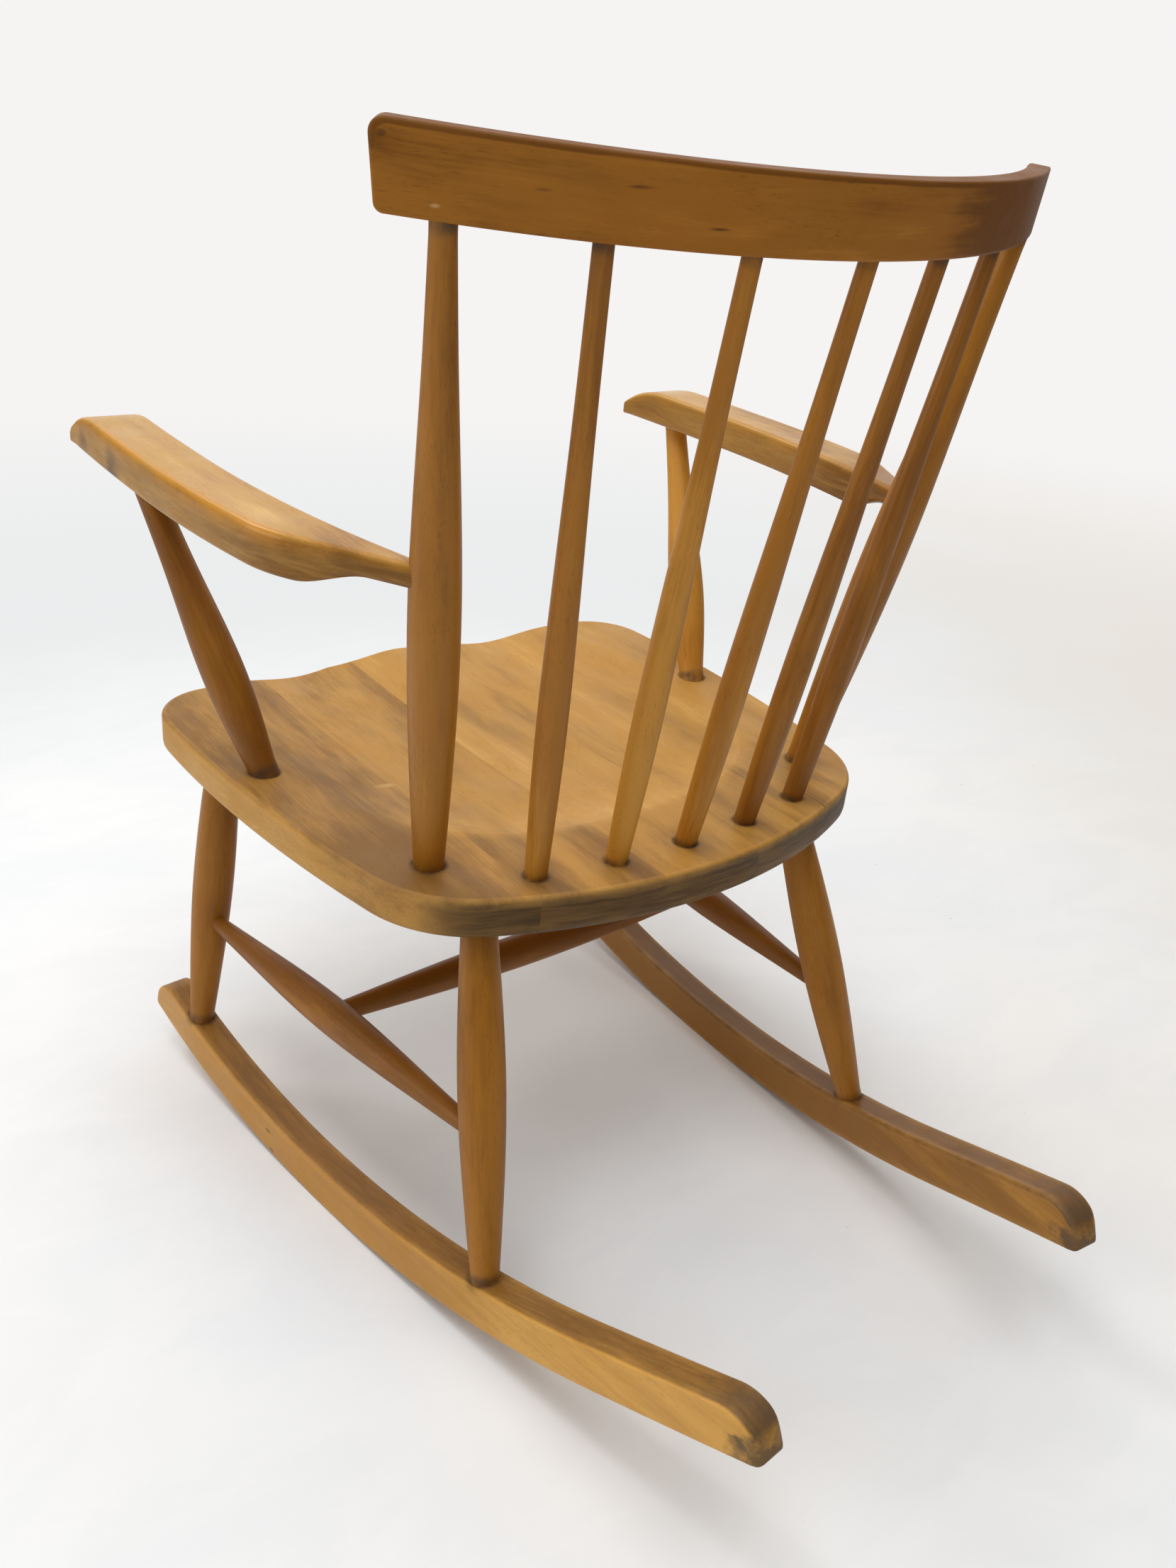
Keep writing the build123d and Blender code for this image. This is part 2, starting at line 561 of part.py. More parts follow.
def crest_rail():
    """Curved rail with rounded corners and arrises, bored from below for the back."""
    half_sweep = RAIL_HALF_ANGLE + RAIL_END_FLARE
    centre = (0, -RAIL_RADIUS)
    with BuildPart() as rail:
        with BuildSketch(rail_bottom):
            with BuildLine():
                rear = CenterArc(centre, RAIL_RADIUS + RAIL_THICKNESS / 2, 90 - half_sweep, 2 * half_sweep)
                front = CenterArc(centre, RAIL_RADIUS - RAIL_THICKNESS / 2, 90 - half_sweep, 2 * half_sweep)
                Line(rear @ 0, front @ 0)
                Line(rear @ 1, front @ 1)
            make_face()
        extrude(amount=RAIL_DEPTH)
        for side in (1, -1):
            split(bisect_by=rail_end_plane(side), keep=Keep.BOTTOM)
        for corner, radius in ((-1, RAIL_TOP_CORNER), (0, RAIL_BOTTOM_CORNER)):
            flats = rail.faces().filter_by(GeomType.PLANE).sort_by(Axis.X)
            fillet([end.edges().sort_by(Axis.Z)[corner] for end in (flats[0], flats[-1])], radius)
        curved = rail.faces().filter_by(GeomType.CYLINDER).sort_by(SortBy.AREA)[-2:]
        fillet(curved.edges(), RAIL_ARRIS)
        for side in (1, -1):
            turning = sided_turning(post_foot, post_head, side)
            far = post_length + RAIL_TENON_DEPTH + SOCKET_END_ROOM
            socket(turning, POST_TENON_DIAMETER, post_length - SHOULDER_TRIM, far)
        for turning, length in zip(spindle_turnings, spindle_lengths):
            far = length + RAIL_TENON_DEPTH + SOCKET_END_ROOM
            socket(turning, SPINDLE_HEAD_DIAMETER, length - STRAIGHT_ENTRY, far)
    return rail.part


def arm_outline(front_y):
    """Plan of an arm on the left: edges of two arcs each, the outer one turned in to the neck."""
    half = ARM_WIDTH / 2
    front_centre = (ARM_WIDEST_X - ARM_FRONT_RADIUS, ARM_WIDEST_Y)
    rear_centre = (ARM_WIDEST_X - arm_rear_radius, ARM_WIDEST_Y)
    front_turn = degrees(asin((front_y - ARM_WIDEST_Y) / ARM_FRONT_RADIUS))
    shoulder_turn = degrees(asin((ARM_SHOULDER_Y - ARM_WIDEST_Y) / (arm_rear_radius + half)))
    neck_turn = degrees(asin(arm_run / (arm_rear_radius - half)))
    with BuildSketch(arm_top) as outline:
        with BuildLine():
            inner_front = CenterArc(front_centre, ARM_FRONT_RADIUS - half, front_turn, -front_turn)
            outer_front = CenterArc(front_centre, ARM_FRONT_RADIUS + half, front_turn, -front_turn)
            inner_rear = CenterArc(rear_centre, arm_rear_radius - half, 0, neck_turn)
            outer_rear = CenterArc(rear_centre, arm_rear_radius + half, 0, shoulder_turn)
            Line(inner_front @ 0, outer_front @ 0)
            neck_end = inner_rear @ 1 + (inner_rear % 1).rotate(Axis.Z, -90) * ARM_NECK_WIDTH
            Polyline(outer_rear @ 1, neck_end, inner_rear @ 1)
        make_face()
        fillet(outline.vertices().sort_by_distance(outer_rear @ 1)[0], ARM_SHOULDER_ROUND)
    return outline.sketch


def arm(front_y):
    """Arm on the left: a bowed board with a falling nose, hollowed under the neck, coped to the post."""
    side_plane = Plane(origin=arm_top.origin, x_dir=arm_top.y_dir, z_dir=(1, 0, 0))
    with BuildPart() as board:
        extrude(arm_outline(front_y), amount=-ARM_THICKNESS)
        through_thickness = Axis(arm_top.origin, arm_top.z_dir)
        fillet(long_edges(board.faces().sort_by(through_thickness)[-1]), ARM_TOP_ROUND)
        fillet(long_edges(board.faces().sort_by(through_thickness)[0]), ARM_LOWER_ROUND)
        with BuildSketch(side_plane) as nose_waste:
            nose_end = front_y + ARM_NOSE_LENGTH
            with BuildLine():
                EllipticalCenterArc(
                    (nose_end, -ARM_THICKNESS), ARM_NOSE_LENGTH, ARM_THICKNESS, start_angle=90, arc_size=90
                )
                Polyline(
                    (front_y, -ARM_THICKNESS),
                    (front_y - ARM_WIDTH, -ARM_THICKNESS),
                    (front_y - ARM_WIDTH, ARM_THICKNESS),
                    (nose_end, ARM_THICKNESS),
                    (nose_end, 0),
                )
            make_face()
        extrude(nose_waste.sketch, amount=REACH_THROUGH, mode=Mode.SUBTRACT)
        with BuildSketch(side_plane) as scoop:
            hollow_end = ARM_SCOOP_START_Y + ARM_SCOOP_LENGTH
            beyond_neck = neck_target.Y + ARM_WIDTH
            with BuildLine():
                Spline(
                    (ARM_SCOOP_START_Y, -ARM_THICKNESS),
                    (hollow_end, -ARM_NECK_THICKNESS),
                    tangents=[(1, 0), (1, 0)],
                )
                Polyline(
                    (hollow_end, -ARM_NECK_THICKNESS),
                    (beyond_neck, -ARM_NECK_THICKNESS),
                    (beyond_neck, -2 * ARM_THICKNESS),
                    (ARM_SCOOP_START_Y, -2 * ARM_THICKNESS),
                    (ARM_SCOOP_START_Y, -ARM_THICKNESS),
                )
            make_face()
        extrude(scoop.sketch, amount=REACH_THROUGH, mode=Mode.SUBTRACT)
        cope = POST_SWELL_DIAMETER + 2 * GLUE_LINE
        cope_low = POST_SWELL_HEIGHT - ARM_WIDTH
        cope_high = POST_SWELL_HEIGHT + ARM_WIDTH
        round_bar(post_turning, cope, cope_low, cope_high, Mode.SUBTRACT)
        tenon_start = POST_SWELL_DIAMETER / 2 - ARM_TENON_DEPTH
        tenon_root = (POST_SWELL_DIAMETER + ARM_TENON_DIAMETER) / 2
        round_bar(arm_tenon_turning, ARM_TENON_DIAMETER, tenon_start, tenon_root)
        far = support_length + SUPPORT_HEAD_DEPTH + SOCKET_END_ROOM
        socket(support_turning, SUPPORT_HEAD_DIAMETER, support_length - STRAIGHT_ENTRY, far)
    return board.part


def long_edges(face):
    """Edges of the arm's top or underside, leaving out the ones at the nose and at the neck."""
    return face.edges().sort_by(Axis(arm_top.origin, arm_top.y_dir))[1:-1]


os.makedirs("parts", exist_ok=True)

plank = seat_plank()
half_width = SEAT_FRONT_HALF_WIDTH + SEAT_SIDE_BOW
left_joints = [half_width, OUTER_BOARD_JOINT, INNER_BOARD_JOINT]
joints = left_joints + [-across for across in reversed(left_joints)]
for number, (high_x, low_x) in enumerate(zip(joints, joints[1:]), start=1):
    save(seat_board(plank, low_x, high_x), f"seat_board_{number}")

save(crest_rail(), "crest_rail")
save(cross_stretcher(), "cross_stretcher")
for number, (turning, length) in enumerate(zip(spindle_turnings, spindle_lengths), start=1):
    save(spindle(turning, length), f"back_spindle_{number}")

save(arm(LEFT_ARM_FRONT_Y), "left_arm")
save(mirrored(arm(RIGHT_ARM_FRONT_Y)), "right_arm")
save(rocker(LEFT_ROCKER_REAR_RUN), "left_rocker")
save(mirrored(rocker(RIGHT_ROCKER_REAR_RUN)), "right_rocker")

left_pieces = {
    "back_post": back_post(),
    "arm_support": arm_support(),
    "front_leg": leg(front_leg_turning, front_leg_length, front_joint),
    "rear_leg": leg(rear_leg_turning, rear_leg_length, rear_joint),
    "side_stretcher": side_stretcher(),
}
for name, piece in left_pieces.items():
    save(mirrored(piece), f"right_{name}")
    save(piece, f"left_{name}")
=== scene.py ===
"""Looks of the rocking chair: turned sticks, bent rail, bowed arms, saddled seat boards and rockers.

Lengths in the shape code are millimetres in the CAD frame (+X to the sitter's left, +Y to the back, +Z up);
a mesh is turned into metres when it is made. The left-hand pieces are drawn and the right-hand ones mirrored.
"""

from math import asin, atan2, cos, degrees, pi, radians, sin, sqrt, tan

import bpy
import numpy as np
from mathutils import Matrix, Vector


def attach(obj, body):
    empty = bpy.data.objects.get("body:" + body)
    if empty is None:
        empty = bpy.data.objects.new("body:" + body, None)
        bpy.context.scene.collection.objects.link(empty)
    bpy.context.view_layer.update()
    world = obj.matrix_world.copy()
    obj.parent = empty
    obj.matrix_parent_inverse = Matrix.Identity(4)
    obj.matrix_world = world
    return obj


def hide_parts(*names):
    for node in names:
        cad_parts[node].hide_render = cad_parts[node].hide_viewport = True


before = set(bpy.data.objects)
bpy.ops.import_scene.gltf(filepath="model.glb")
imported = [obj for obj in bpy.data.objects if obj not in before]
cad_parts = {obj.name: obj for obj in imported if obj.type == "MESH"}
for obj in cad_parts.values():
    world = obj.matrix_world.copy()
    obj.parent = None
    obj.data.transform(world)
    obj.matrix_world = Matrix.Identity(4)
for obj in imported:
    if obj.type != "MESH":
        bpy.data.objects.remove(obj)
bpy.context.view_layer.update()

MM = 0.001
SIDES = ((1, "left"), (-1, "right"))

# ---------------------------------------------------------------- driving sizes, as in the construction
SEAT_HEIGHT, SEAT_CENTRE_Y, SEAT_SLOPE = 388.3, -129.0, 3.19
SEAT_LENGTH, SEAT_THICKNESS = 504.0, 35.5
SEAT_FRONT_HALF, SEAT_REAR_HALF = 270.0, 238.5
SEAT_FRONT_BOW, SEAT_REAR_BOW, SEAT_SIDE_BOW = 20.0, 65.5, 16.5
SEAT_FRONT_CORNER, SEAT_REAR_CORNER = 58.0, 105.0
SEAT_TOP_ROUND, SEAT_LOWER_ROUND = 3.6, 9.5
INNER_BOARD_JOINT, OUTER_BOARD_JOINT = 50.0, 152.0

# the finished saddle: dish and thigh channels drawn softer than in the construction, a ridge between
DISH_DEPTH, DISH_HALF_WIDTH, DISH_CENTRE, DISH_POWER = 12.0, 215.0, -60.0, 2.6
DISH_REAR_REACH, DISH_FRONT_REACH = 213.0, 245.0
RIDGE_HEIGHT, RIDGE_WIDTH, RIDGE_START, RIDGE_GROWTH = 6.0, 40.0, 20.0, 200.0
CHANNEL_DEPTH, CHANNEL_OFFSET, CHANNEL_WIDTH, CHANNEL_START, CHANNEL_GROWTH = 9.0, 112.0, 52.0, 60.0, 190.0

ROCKER_RADIUS, ROCKER_LOWEST_Y, ROCKER_HEIGHT, ROCKER_WIDTH = 1090.0, -91.3, 39.5, 29.0
ROCKER_OFFSET, ROCKER_TOE, ROCKER_BOW_RADIUS, ROCKER_BOW_Y = 225.9, 5.91, 6950.0, 10.0
ROCKER_FRONT_SWEEP, ROCKER_REAR_SWEEP = 17.0, 18.5
ROCKER_REAR_RUN = {"left": 161.7, "right": 166.7}
ROCKER_SMALL_NOSE, ROCKER_FRONT_NOSE, ROCKER_REAR_NOSE = 5.5, 28.5, 32.0
ROCKER_ARRIS, ROCKER_END_ROUND = 2.6, 9.0

RAIL_BOTTOM_HEIGHT, RAIL_MIDDLE_Y, RAIL_LEAN = 827.5, 189.1, 9.47
RAIL_RADIUS, RAIL_THICKNESS, RAIL_DEPTH = 487.2, 18.0, 48.4
RAIL_HALF_ANGLE, RAIL_END_FLARE = 36.2, 8.5
RAIL_BOTTOM_CORNER, RAIL_TOP_CORNER = 5.0, 10.0
RAIL_FRONT_ARRIS, RAIL_REAR_ARRIS = 3.5, 2.0

ARM_HEIGHT, ARM_SLOPE, ARM_THICKNESS, ARM_WIDTH = 637.9, 4.37, 31.0, 50.6
ARM_WIDEST_X, ARM_WIDEST_Y, ARM_FRONT_RADIUS = 291.7, -188.5, 2900.0
ARM_FRONT_Y = {"left": -380.0, "right": -349.0}
ARM_NOSE_LENGTH, ARM_CORNER, ARM_TOP_ROUND, ARM_LOWER_ROUND = 61.0, 4.0, 5.0, 3.0
ARM_POST_OFFSET, ARM_SHOULDER_Y, ARM_SHOULDER_ROUND = 28.96, -28.0, 110.0
ARM_NECK_WIDTH, ARM_NECK_THICKNESS = 12.0, 17.5
ARM_SCOOP_START, ARM_SCOOP_LENGTH = -10.0, 48.0

# where the sticks stand: insets from the seat's edges, places along the rockers, angles round the rail
FRONT_LEG_FOOT_Y, FRONT_LEG_SIDE_INSET, FRONT_LEG_EDGE_INSET = -331.3, 64.8, 43.3
REAR_LEG_FOOT_Y, REAR_LEG_SIDE_INSET, REAR_LEG_EDGE_INSET = 125.1, 68.4, 80.0
FRONT_STRETCHER_HEIGHT, REAR_STRETCHER_HEIGHT = 175.0, 170.7
POST_FOOT_X, POST_FOOT_EDGE_INSET, POST_RAIL_ANGLE = 200.4, 106.5, 31.8
SPINDLE_ROW_RADIUS, SPINDLE_EDGE_INSET, SPINDLE_FOOT_SPACING = 613.0, 37.9, 69.0
SPINDLE_RAIL_ANGLES = (21.1, 9.8, -1.4, -10.7, -21.1)
SUPPORT_FOOT_SIDE_INSET, SUPPORT_FOOT_Y = 29.3, -52.1
SUPPORT_HEAD_Y, SUPPORT_HEAD_INSET = -287.0, 2.9

# stations of the turned sticks: distance from the foot, or from the head where negative, and diameter
STRAIGHT_ENTRY = 8.0
LEG = ((STRAIGHT_ENTRY, 24.3), (65.0, 32.1), (149.0, 38.5), (-STRAIGHT_ENTRY, 28.1))
POST = ((STRAIGHT_ENTRY, 24.3), (236.0, 35.5), (-77.0, 21.4), (-STRAIGHT_ENTRY, 16.4))
SUPPORT = ((STRAIGHT_ENTRY, 24.7), (82.0, 35.9), (-91.0, 27.0), (-STRAIGHT_ENTRY, 21.3))
SPINDLE = ((STRAIGHT_ENTRY, 18.2), (116.0, 22.3), (-111.0, 15.1), (-STRAIGHT_ENTRY, 13.1))
SIDE_BAR_END, SIDE_BAR_TAPER, SIDE_BAR_MIDDLE = (20.25, 15.0), (74.0, 21.0), 32.7
CROSS_BAR_END, CROSS_BAR_MIDDLE = (17.0, 18.0), 32.0


# ---------------------------------------------------------------- reference planes and joint places
class Plane:
    """A drawing plane: an origin with two axes in it and its normal."""

    def __init__(self, origin, a, b):
        self.origin = np.array(origin, float)
        self.a = unit(a)
        self.b = unit(b)
        self.n = np.cross(self.a, self.b)

    def at(self, a, b, n=0.0):
        """World place of plane coordinates: origin + a A + b B + n N, for numbers or arrays."""
        a, b, n = np.broadcast_arrays(np.asarray(a, float), b, n)
        return self.origin + a[..., None] * self.a + b[..., None] * self.b + n[..., None] * self.n


def unit(v):
    """The direction of a vector."""
    v = np.asarray(v, float)
    return v / np.linalg.norm(v, axis=-1, keepdims=True)


def rise(x, start, length):
    """0 up to start, 1 from start + length on, and t t (3 - 2 t) between, t being the share of the length."""
    t = np.clip((x - start) / length, 0, 1)
    return t * t * (3 - 2 * t)


def sloping(x, y, z, slope):
    """Plane whose A is across the chair and whose B runs back and down by slope degrees."""
    turn = radians(slope)
    return Plane((x, y, z), (1, 0, 0), (0, cos(turn), -sin(turn)))


seat = sloping(0, SEAT_CENTRE_Y, SEAT_HEIGHT, SEAT_SLOPE)
arm_plane = sloping(0, 0, ARM_HEIGHT, ARM_SLOPE)
rail_plane = sloping(0, RAIL_MIDDLE_Y, RAIL_BOTTOM_HEIGHT, RAIL_LEAN)
rocker_along = np.array((-sin(radians(ROCKER_TOE)), cos(radians(ROCKER_TOE)), 0.0))
rocker_plane = Plane((ROCKER_OFFSET, 0, 0), rocker_along, (0, 0, 1))


def rocker_bow(along):
    """How far a rocker's middle lies outside its straight plane: a flat arc in plan."""
    return np.sqrt(ROCKER_BOW_RADIUS**2 - (along - ROCKER_BOW_Y) ** 2) - ROCKER_BOW_RADIUS


def rocker_top(along):
    """Point on the middle of a rocker's top, at a distance along the rocker."""
    radius = ROCKER_RADIUS - ROCKER_HEIGHT
    drop = sqrt(radius**2 - (along - ROCKER_LOWEST_Y) ** 2)
    return rocker_plane.at(along, ROCKER_RADIUS - drop, rocker_bow(along))


def rail_point(angle):
    """Point on the middle line of the crest rail's lower face."""
    turn = radians(angle)
    return rail_plane.at(RAIL_RADIUS * sin(turn), RAIL_RADIUS * (cos(turn) - 1))


def between(foot, head, height):
    """Point of the line from foot to head at a height above the floor."""
    return foot + (head - foot) * ((height - foot[2]) / (head[2] - foot[2]))


def spindle_foot(x):
    """Foot of a spindle on the row, an arc bowed to the back."""
    middle = SEAT_LENGTH / 2 - SPINDLE_EDGE_INSET
    return seat.at(x, middle - SPINDLE_ROW_RADIUS + sqrt(SPINDLE_ROW_RADIUS**2 - x**2))


front_leg = (
    rocker_top(FRONT_LEG_FOOT_Y),
    seat.at(SEAT_FRONT_HALF - FRONT_LEG_SIDE_INSET, FRONT_LEG_EDGE_INSET - SEAT_LENGTH / 2, -SEAT_THICKNESS),
)
rear_leg = (
    rocker_top(REAR_LEG_FOOT_Y),
    seat.at(SEAT_REAR_HALF - REAR_LEG_SIDE_INSET, SEAT_LENGTH / 2 - REAR_LEG_EDGE_INSET, -SEAT_THICKNESS),
)
front_joint = between(*front_leg, FRONT_STRETCHER_HEIGHT)
rear_joint = between(*rear_leg, REAR_STRETCHER_HEIGHT)
left_middle = (front_joint + rear_joint) / 2
right_middle = left_middle * (-1, 1, 1)
post = (seat.at(POST_FOOT_X, SEAT_LENGTH / 2 - POST_FOOT_EDGE_INSET), rail_point(POST_RAIL_ANGLE))
neck_height = ARM_HEIGHT - ARM_NECK_THICKNESS / 2 - post[0][1] * sin(radians(ARM_SLOPE))
neck_target = between(*post, neck_height)
arm_spread = ARM_WIDEST_X - neck_target[0] - ARM_POST_OFFSET
arm_run = neck_target[1] - ARM_WIDEST_Y
ARM_REAR_RADIUS = (arm_spread**2 + arm_run**2) / (2 * arm_spread)


def arm_middle_x(y):
    """Middle line of the arm in plan: a nearly straight arc in front, a rounder one behind."""
    radius = np.where(np.asarray(y) < ARM_WIDEST_Y, ARM_FRONT_RADIUS, ARM_REAR_RADIUS)
    return ARM_WIDEST_X - radius + np.sqrt(radius**2 - (y - ARM_WIDEST_Y) ** 2)


support = (
    seat.at(SEAT_FRONT_HALF - SUPPORT_FOOT_SIDE_INSET, SUPPORT_FOOT_Y),
    arm_plane.at(
        arm_middle_x(SUPPORT_HEAD_Y) - SUPPORT_HEAD_INSET,
        SUPPORT_HEAD_Y / cos(radians(ARM_SLOPE)),
        -ARM_THICKNESS,
    ),
)
spindles = [
    (spindle_foot(SPINDLE_FOOT_SPACING * step), rail_point(angle))
    for step, angle in zip((2, 1, 0, -1, -2), SPINDLE_RAIL_ANGLES)
]


# ---------------------------------------------------------------- meshes
WELD_STEPS_PER_MM = 1000
SHARP_ANGLE = 38
STICK_SIDES, STICK_STEP = 44, 2.4


def weld(points, quads, fields):
    """Joins points that lie within a thousandth of a millimetre.

    A quad with two neighbouring corners joined becomes a triangle, and one with fewer corners left is dropped.
    """
    steps = np.round(points * WELD_STEPS_PER_MM).astype(np.int64)
    _, first, merged = np.unique(steps, axis=0, return_index=True, return_inverse=True)
    quads = merged.reshape(-1)[quads]
    kept = quads != np.roll(quads, 1, axis=1)
    corners = kept.sum(axis=1)
    whole = (corners == 4) & (quads[:, 0] != quads[:, 2]) & (quads[:, 1] != quads[:, 3])
    three = corners == 3
    triangles = quads[three][kept[three]].reshape(-1, 3)
    faces = quads[whole].tolist() + triangles.tolist()
    return points[first], faces, {name: field[first] for name, field in fields.items()}


def grid_faces(rows, columns):
    """Quads of a grid of rows x columns whose columns close into a ring."""
    i, j = np.meshgrid(np.arange(rows - 1), np.arange(columns), indexing="ij")
    following = (j + 1) % columns
    quads = (i * columns + j, (i + 1) * columns + j, (i + 1) * columns + following, i * columns + following)
    return np.stack(quads, axis=-1).reshape(-1, 4)


def make_piece(name, grid, timber, material, nodes, fields, mirror=False):
    """One closed mesh from a ring-by-ring grid of points in mm, with its timber coordinates in metres."""
    rows, columns = grid.shape[:2]
    values = {"timber": timber.reshape(-1, 3)}
    for key, field in fields.items():
        values[key] = np.broadcast_to(field, (rows, columns)).reshape(-1)
    points, faces, values = weld(grid.reshape(-1, 3), grid_faces(rows, columns), values)
    if mirror:
        points = points * (-1, 1, 1)
        faces = [face[::-1] for face in faces]
    mesh = bpy.data.meshes.new(name)
    mesh.from_pydata((points * MM).tolist(), [], faces)
    for key, field in values.items():
        vector = field.ndim == 2
        attribute = mesh.attributes.new(key, "FLOAT_VECTOR" if vector else "FLOAT", "POINT")
        attribute.data.foreach_set("vector" if vector else "value", field.astype(np.float32).ravel())
    mesh.shade_smooth()
    mesh.set_sharp_from_angle(angle=radians(SHARP_ANGLE))
    mesh.materials.append(material)
    piece = bpy.data.objects.new(name, mesh)
    bpy.context.scene.collection.objects.link(piece)
    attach(piece, "root")
    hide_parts(*nodes)


def natural_spline(xs, ys, at):
    """Natural cubic spline through the stations, read at the given places."""
    xs, ys = np.asarray(xs, float), np.asarray(ys, float)
    h = np.diff(xs)
    n = len(xs)
    system, right = np.eye(n), np.zeros(n)
    for k in range(1, n - 1):
        system[k, k - 1 : k + 2] = h[k - 1], 2 * (h[k - 1] + h[k]), h[k]
        right[k] = 6 * ((ys[k + 1] - ys[k]) / h[k] - (ys[k] - ys[k - 1]) / h[k - 1])
    bend = np.linalg.solve(system, right)
    k = np.clip(np.searchsorted(xs, at) - 1, 0, n - 2)
    left, rest = at - xs[k], xs[k + 1] - at
    return (
        (bend[k] * rest**3 + bend[k + 1] * left**3) / (6 * h[k])
        + (ys[k] / h[k] - bend[k] * h[k] / 6) * rest
        + (ys[k + 1] / h[k] - bend[k + 1] * h[k] / 6) * left
    )


def turned(name, ends, stations, runs, node, offset, tones, roll, mirror=False):
    """A stick turned about the line between its ends.

    Point(d, t) = foot + d axis + r(d) (cos t P + sin t Q), r being a spline through the stations, straight
    past the first and the last one, and t going once round. d runs past both ends into the neighbours. The
    tone goes from the first of tones at the foot to the second at the head.
    """
    foot, head = ends
    length = np.linalg.norm(head - foot)
    axis = unit(head - foot)
    stations = [(length + d if d <= 0 else d, diameter / 2) for d, diameter in stations]
    ds, rs = zip(*stations)
    last = length + runs[1]
    d = np.concatenate(([-runs[0]], np.arange(-runs[0] + 1, last, STICK_STEP), [last]))
    radius = natural_spline(ds, rs, np.clip(d, ds[0], ds[-1]))
    side = unit(np.cross(axis, (0.0, 0.0, 1.0) if abs(axis[2]) < 0.9 else (0.0, 1.0, 0.0)))
    other = np.cross(axis, side)
    t = np.linspace(0, 2 * pi, STICK_SIDES, endpoint=False)
    round_ = np.cos(t)[:, None] * side + np.sin(t)[:, None] * other
    radius = np.concatenate(([0.0], radius, [0.0]))
    d = np.concatenate((d[:1], d, d[-1:]))
    grid = foot + d[:, None, None] * axis + radius[:, None, None] * round_
    grain = np.stack(
        (
            np.broadcast_to(d[:, None], grid.shape[:2]),
            radius[:, None] * np.cos(t + roll),
            radius[:, None] * np.sin(t + roll),
        ),
        axis=-1,
    )
    fields = {
        # the tone is partly painted light and shade, such as the stretchers darkened under the seat
        "tone": tones[0] + (tones[1] - tones[0]) * rise(d, 0, length)[:, None],
        "end": np.clip(np.minimum(d, length - d), 0, None)[:, None] * MM,
        "wear_and_highlight": 0.0,
    }
    make_piece(name, grid, grain * MM + np.array(offset), turned_wood, [node], fields, mirror)


def walked(curve):
    """Distance of each point of a polyline from its start, measured along it."""
    return np.concatenate(([0], np.cumsum(np.hypot(*np.diff(curve, axis=0).T))))


def read_along(curve, lengths, places):
    """Points of a polyline at distances from its start."""
    return np.stack([np.interp(places, lengths, curve[:, k]) for k in range(2)], axis=-1)


def resampled(curve, step):
    """A polyline walked again at about equal steps, its ends kept."""
    lengths = walked(curve)
    count = max(2, int(round(lengths[-1] / step)) + 1)
    return read_along(curve, lengths, np.linspace(0, lengths[-1], count))


def trimmed(curve, start, end):
    """A polyline without its first start and last end millimetres."""
    lengths = walked(curve)
    inside = lengths[(lengths > start + 1e-6) & (lengths < lengths[-1] - end - 1e-6)]
    return read_along(curve, lengths, np.concatenate(([start], inside, [lengths[-1] - end])))


def arc(centre, radius, start, end, count):
    """Points of a circular arc between two angles in degrees."""
    t = np.radians(np.linspace(start, end, count))
    return np.stack((centre[0] + radius * np.cos(t), centre[1] + radius * np.sin(t)), axis=-1)


def joined(curves, radii, step, corner_points):
    """Closed outline of curves laid end to end, each corner rounded by its radius.

    A corner with radius r and turn f is cut off r tan(f/2) along both curves and filled with the conic
    (1-t)^2 A + 2 t (1-t) w C + t^2 B over its weights, w = cos(f/2), which is the circle of radius r.
    """
    count = len(curves)
    cuts, weights = [], []
    for k in range(count):
        arriving = unit(curves[k - 1][-1] - curves[k - 1][-2])
        leaving = unit(curves[k][1] - curves[k][0])
        turn = np.arccos(np.clip(arriving @ leaving, -1, 1))
        cuts.append(radii[k] * tan(turn / 2))
        weights.append(cos(turn / 2))
    parts = []
    for k in range(count):
        body = trimmed(curves[k], cuts[k], cuts[(k + 1) % count])
        before = trimmed(curves[k - 1], cuts[k - 1], cuts[k])[-1]
        if radii[k] > 0:
            t = np.linspace(0, 1, corner_points)[1:-1, None]
            weight = (1 - t) ** 2 + 2 * t * (1 - t) * weights[k] + t**2
            corner = (1 - t) ** 2 * before + 2 * t * (1 - t) * weights[k] * curves[k][0] + t**2 * body[0]
            parts.append(corner / weight)
        body = resampled(body, step)
        parts.append(body[:-1] if radii[(k + 1) % count] == 0 else body)
    return np.concatenate(parts)


def inward(outline):
    """Unit normals that point into a counter-clockwise outline."""
    ahead = np.roll(outline, -1, axis=0) - outline
    behind = outline - np.roll(outline, 1, axis=0)
    tangent = unit(unit(ahead) + unit(behind))
    return np.stack((-tangent[:, 1], tangent[:, 0]), axis=-1)


class PlateRows:
    """Which rows of a plate's grid lie on its rounded arrises and on its side."""

    def __init__(self, count, rings, round_steps, side_steps):
        self.rows = np.arange(count)
        self.round_steps = round_steps
        self.upper = rings
        self.lower = rings + round_steps + side_steps

    def arris(self, upper, lower, spread=0):
        """Wear of each row: upper or lower on that arris, 0 elsewhere, faded over spread rows beyond it."""
        worn = []
        for share, first in ((upper, self.upper), (lower, self.lower)):
            last = first + self.round_steps - 1
            beyond = np.maximum(np.maximum(first - self.rows, self.rows - last), 0)
            worn.append(share * np.clip(1 - beyond / (spread + 1), 0, 1))
        return np.maximum(*worn)[:, None]

    def side(self):
        """1 on the side and the lower arris, growing from 0 over the upper arris, and 0 beyond them."""
        start = self.upper + 0.35 * self.round_steps
        entering = np.clip((self.rows - start) / (0.45 * self.round_steps), 0, 1)
        leaving = np.clip(self.lower + self.round_steps - self.rows, 0, 1)
        return (entering * leaving)[:, None]


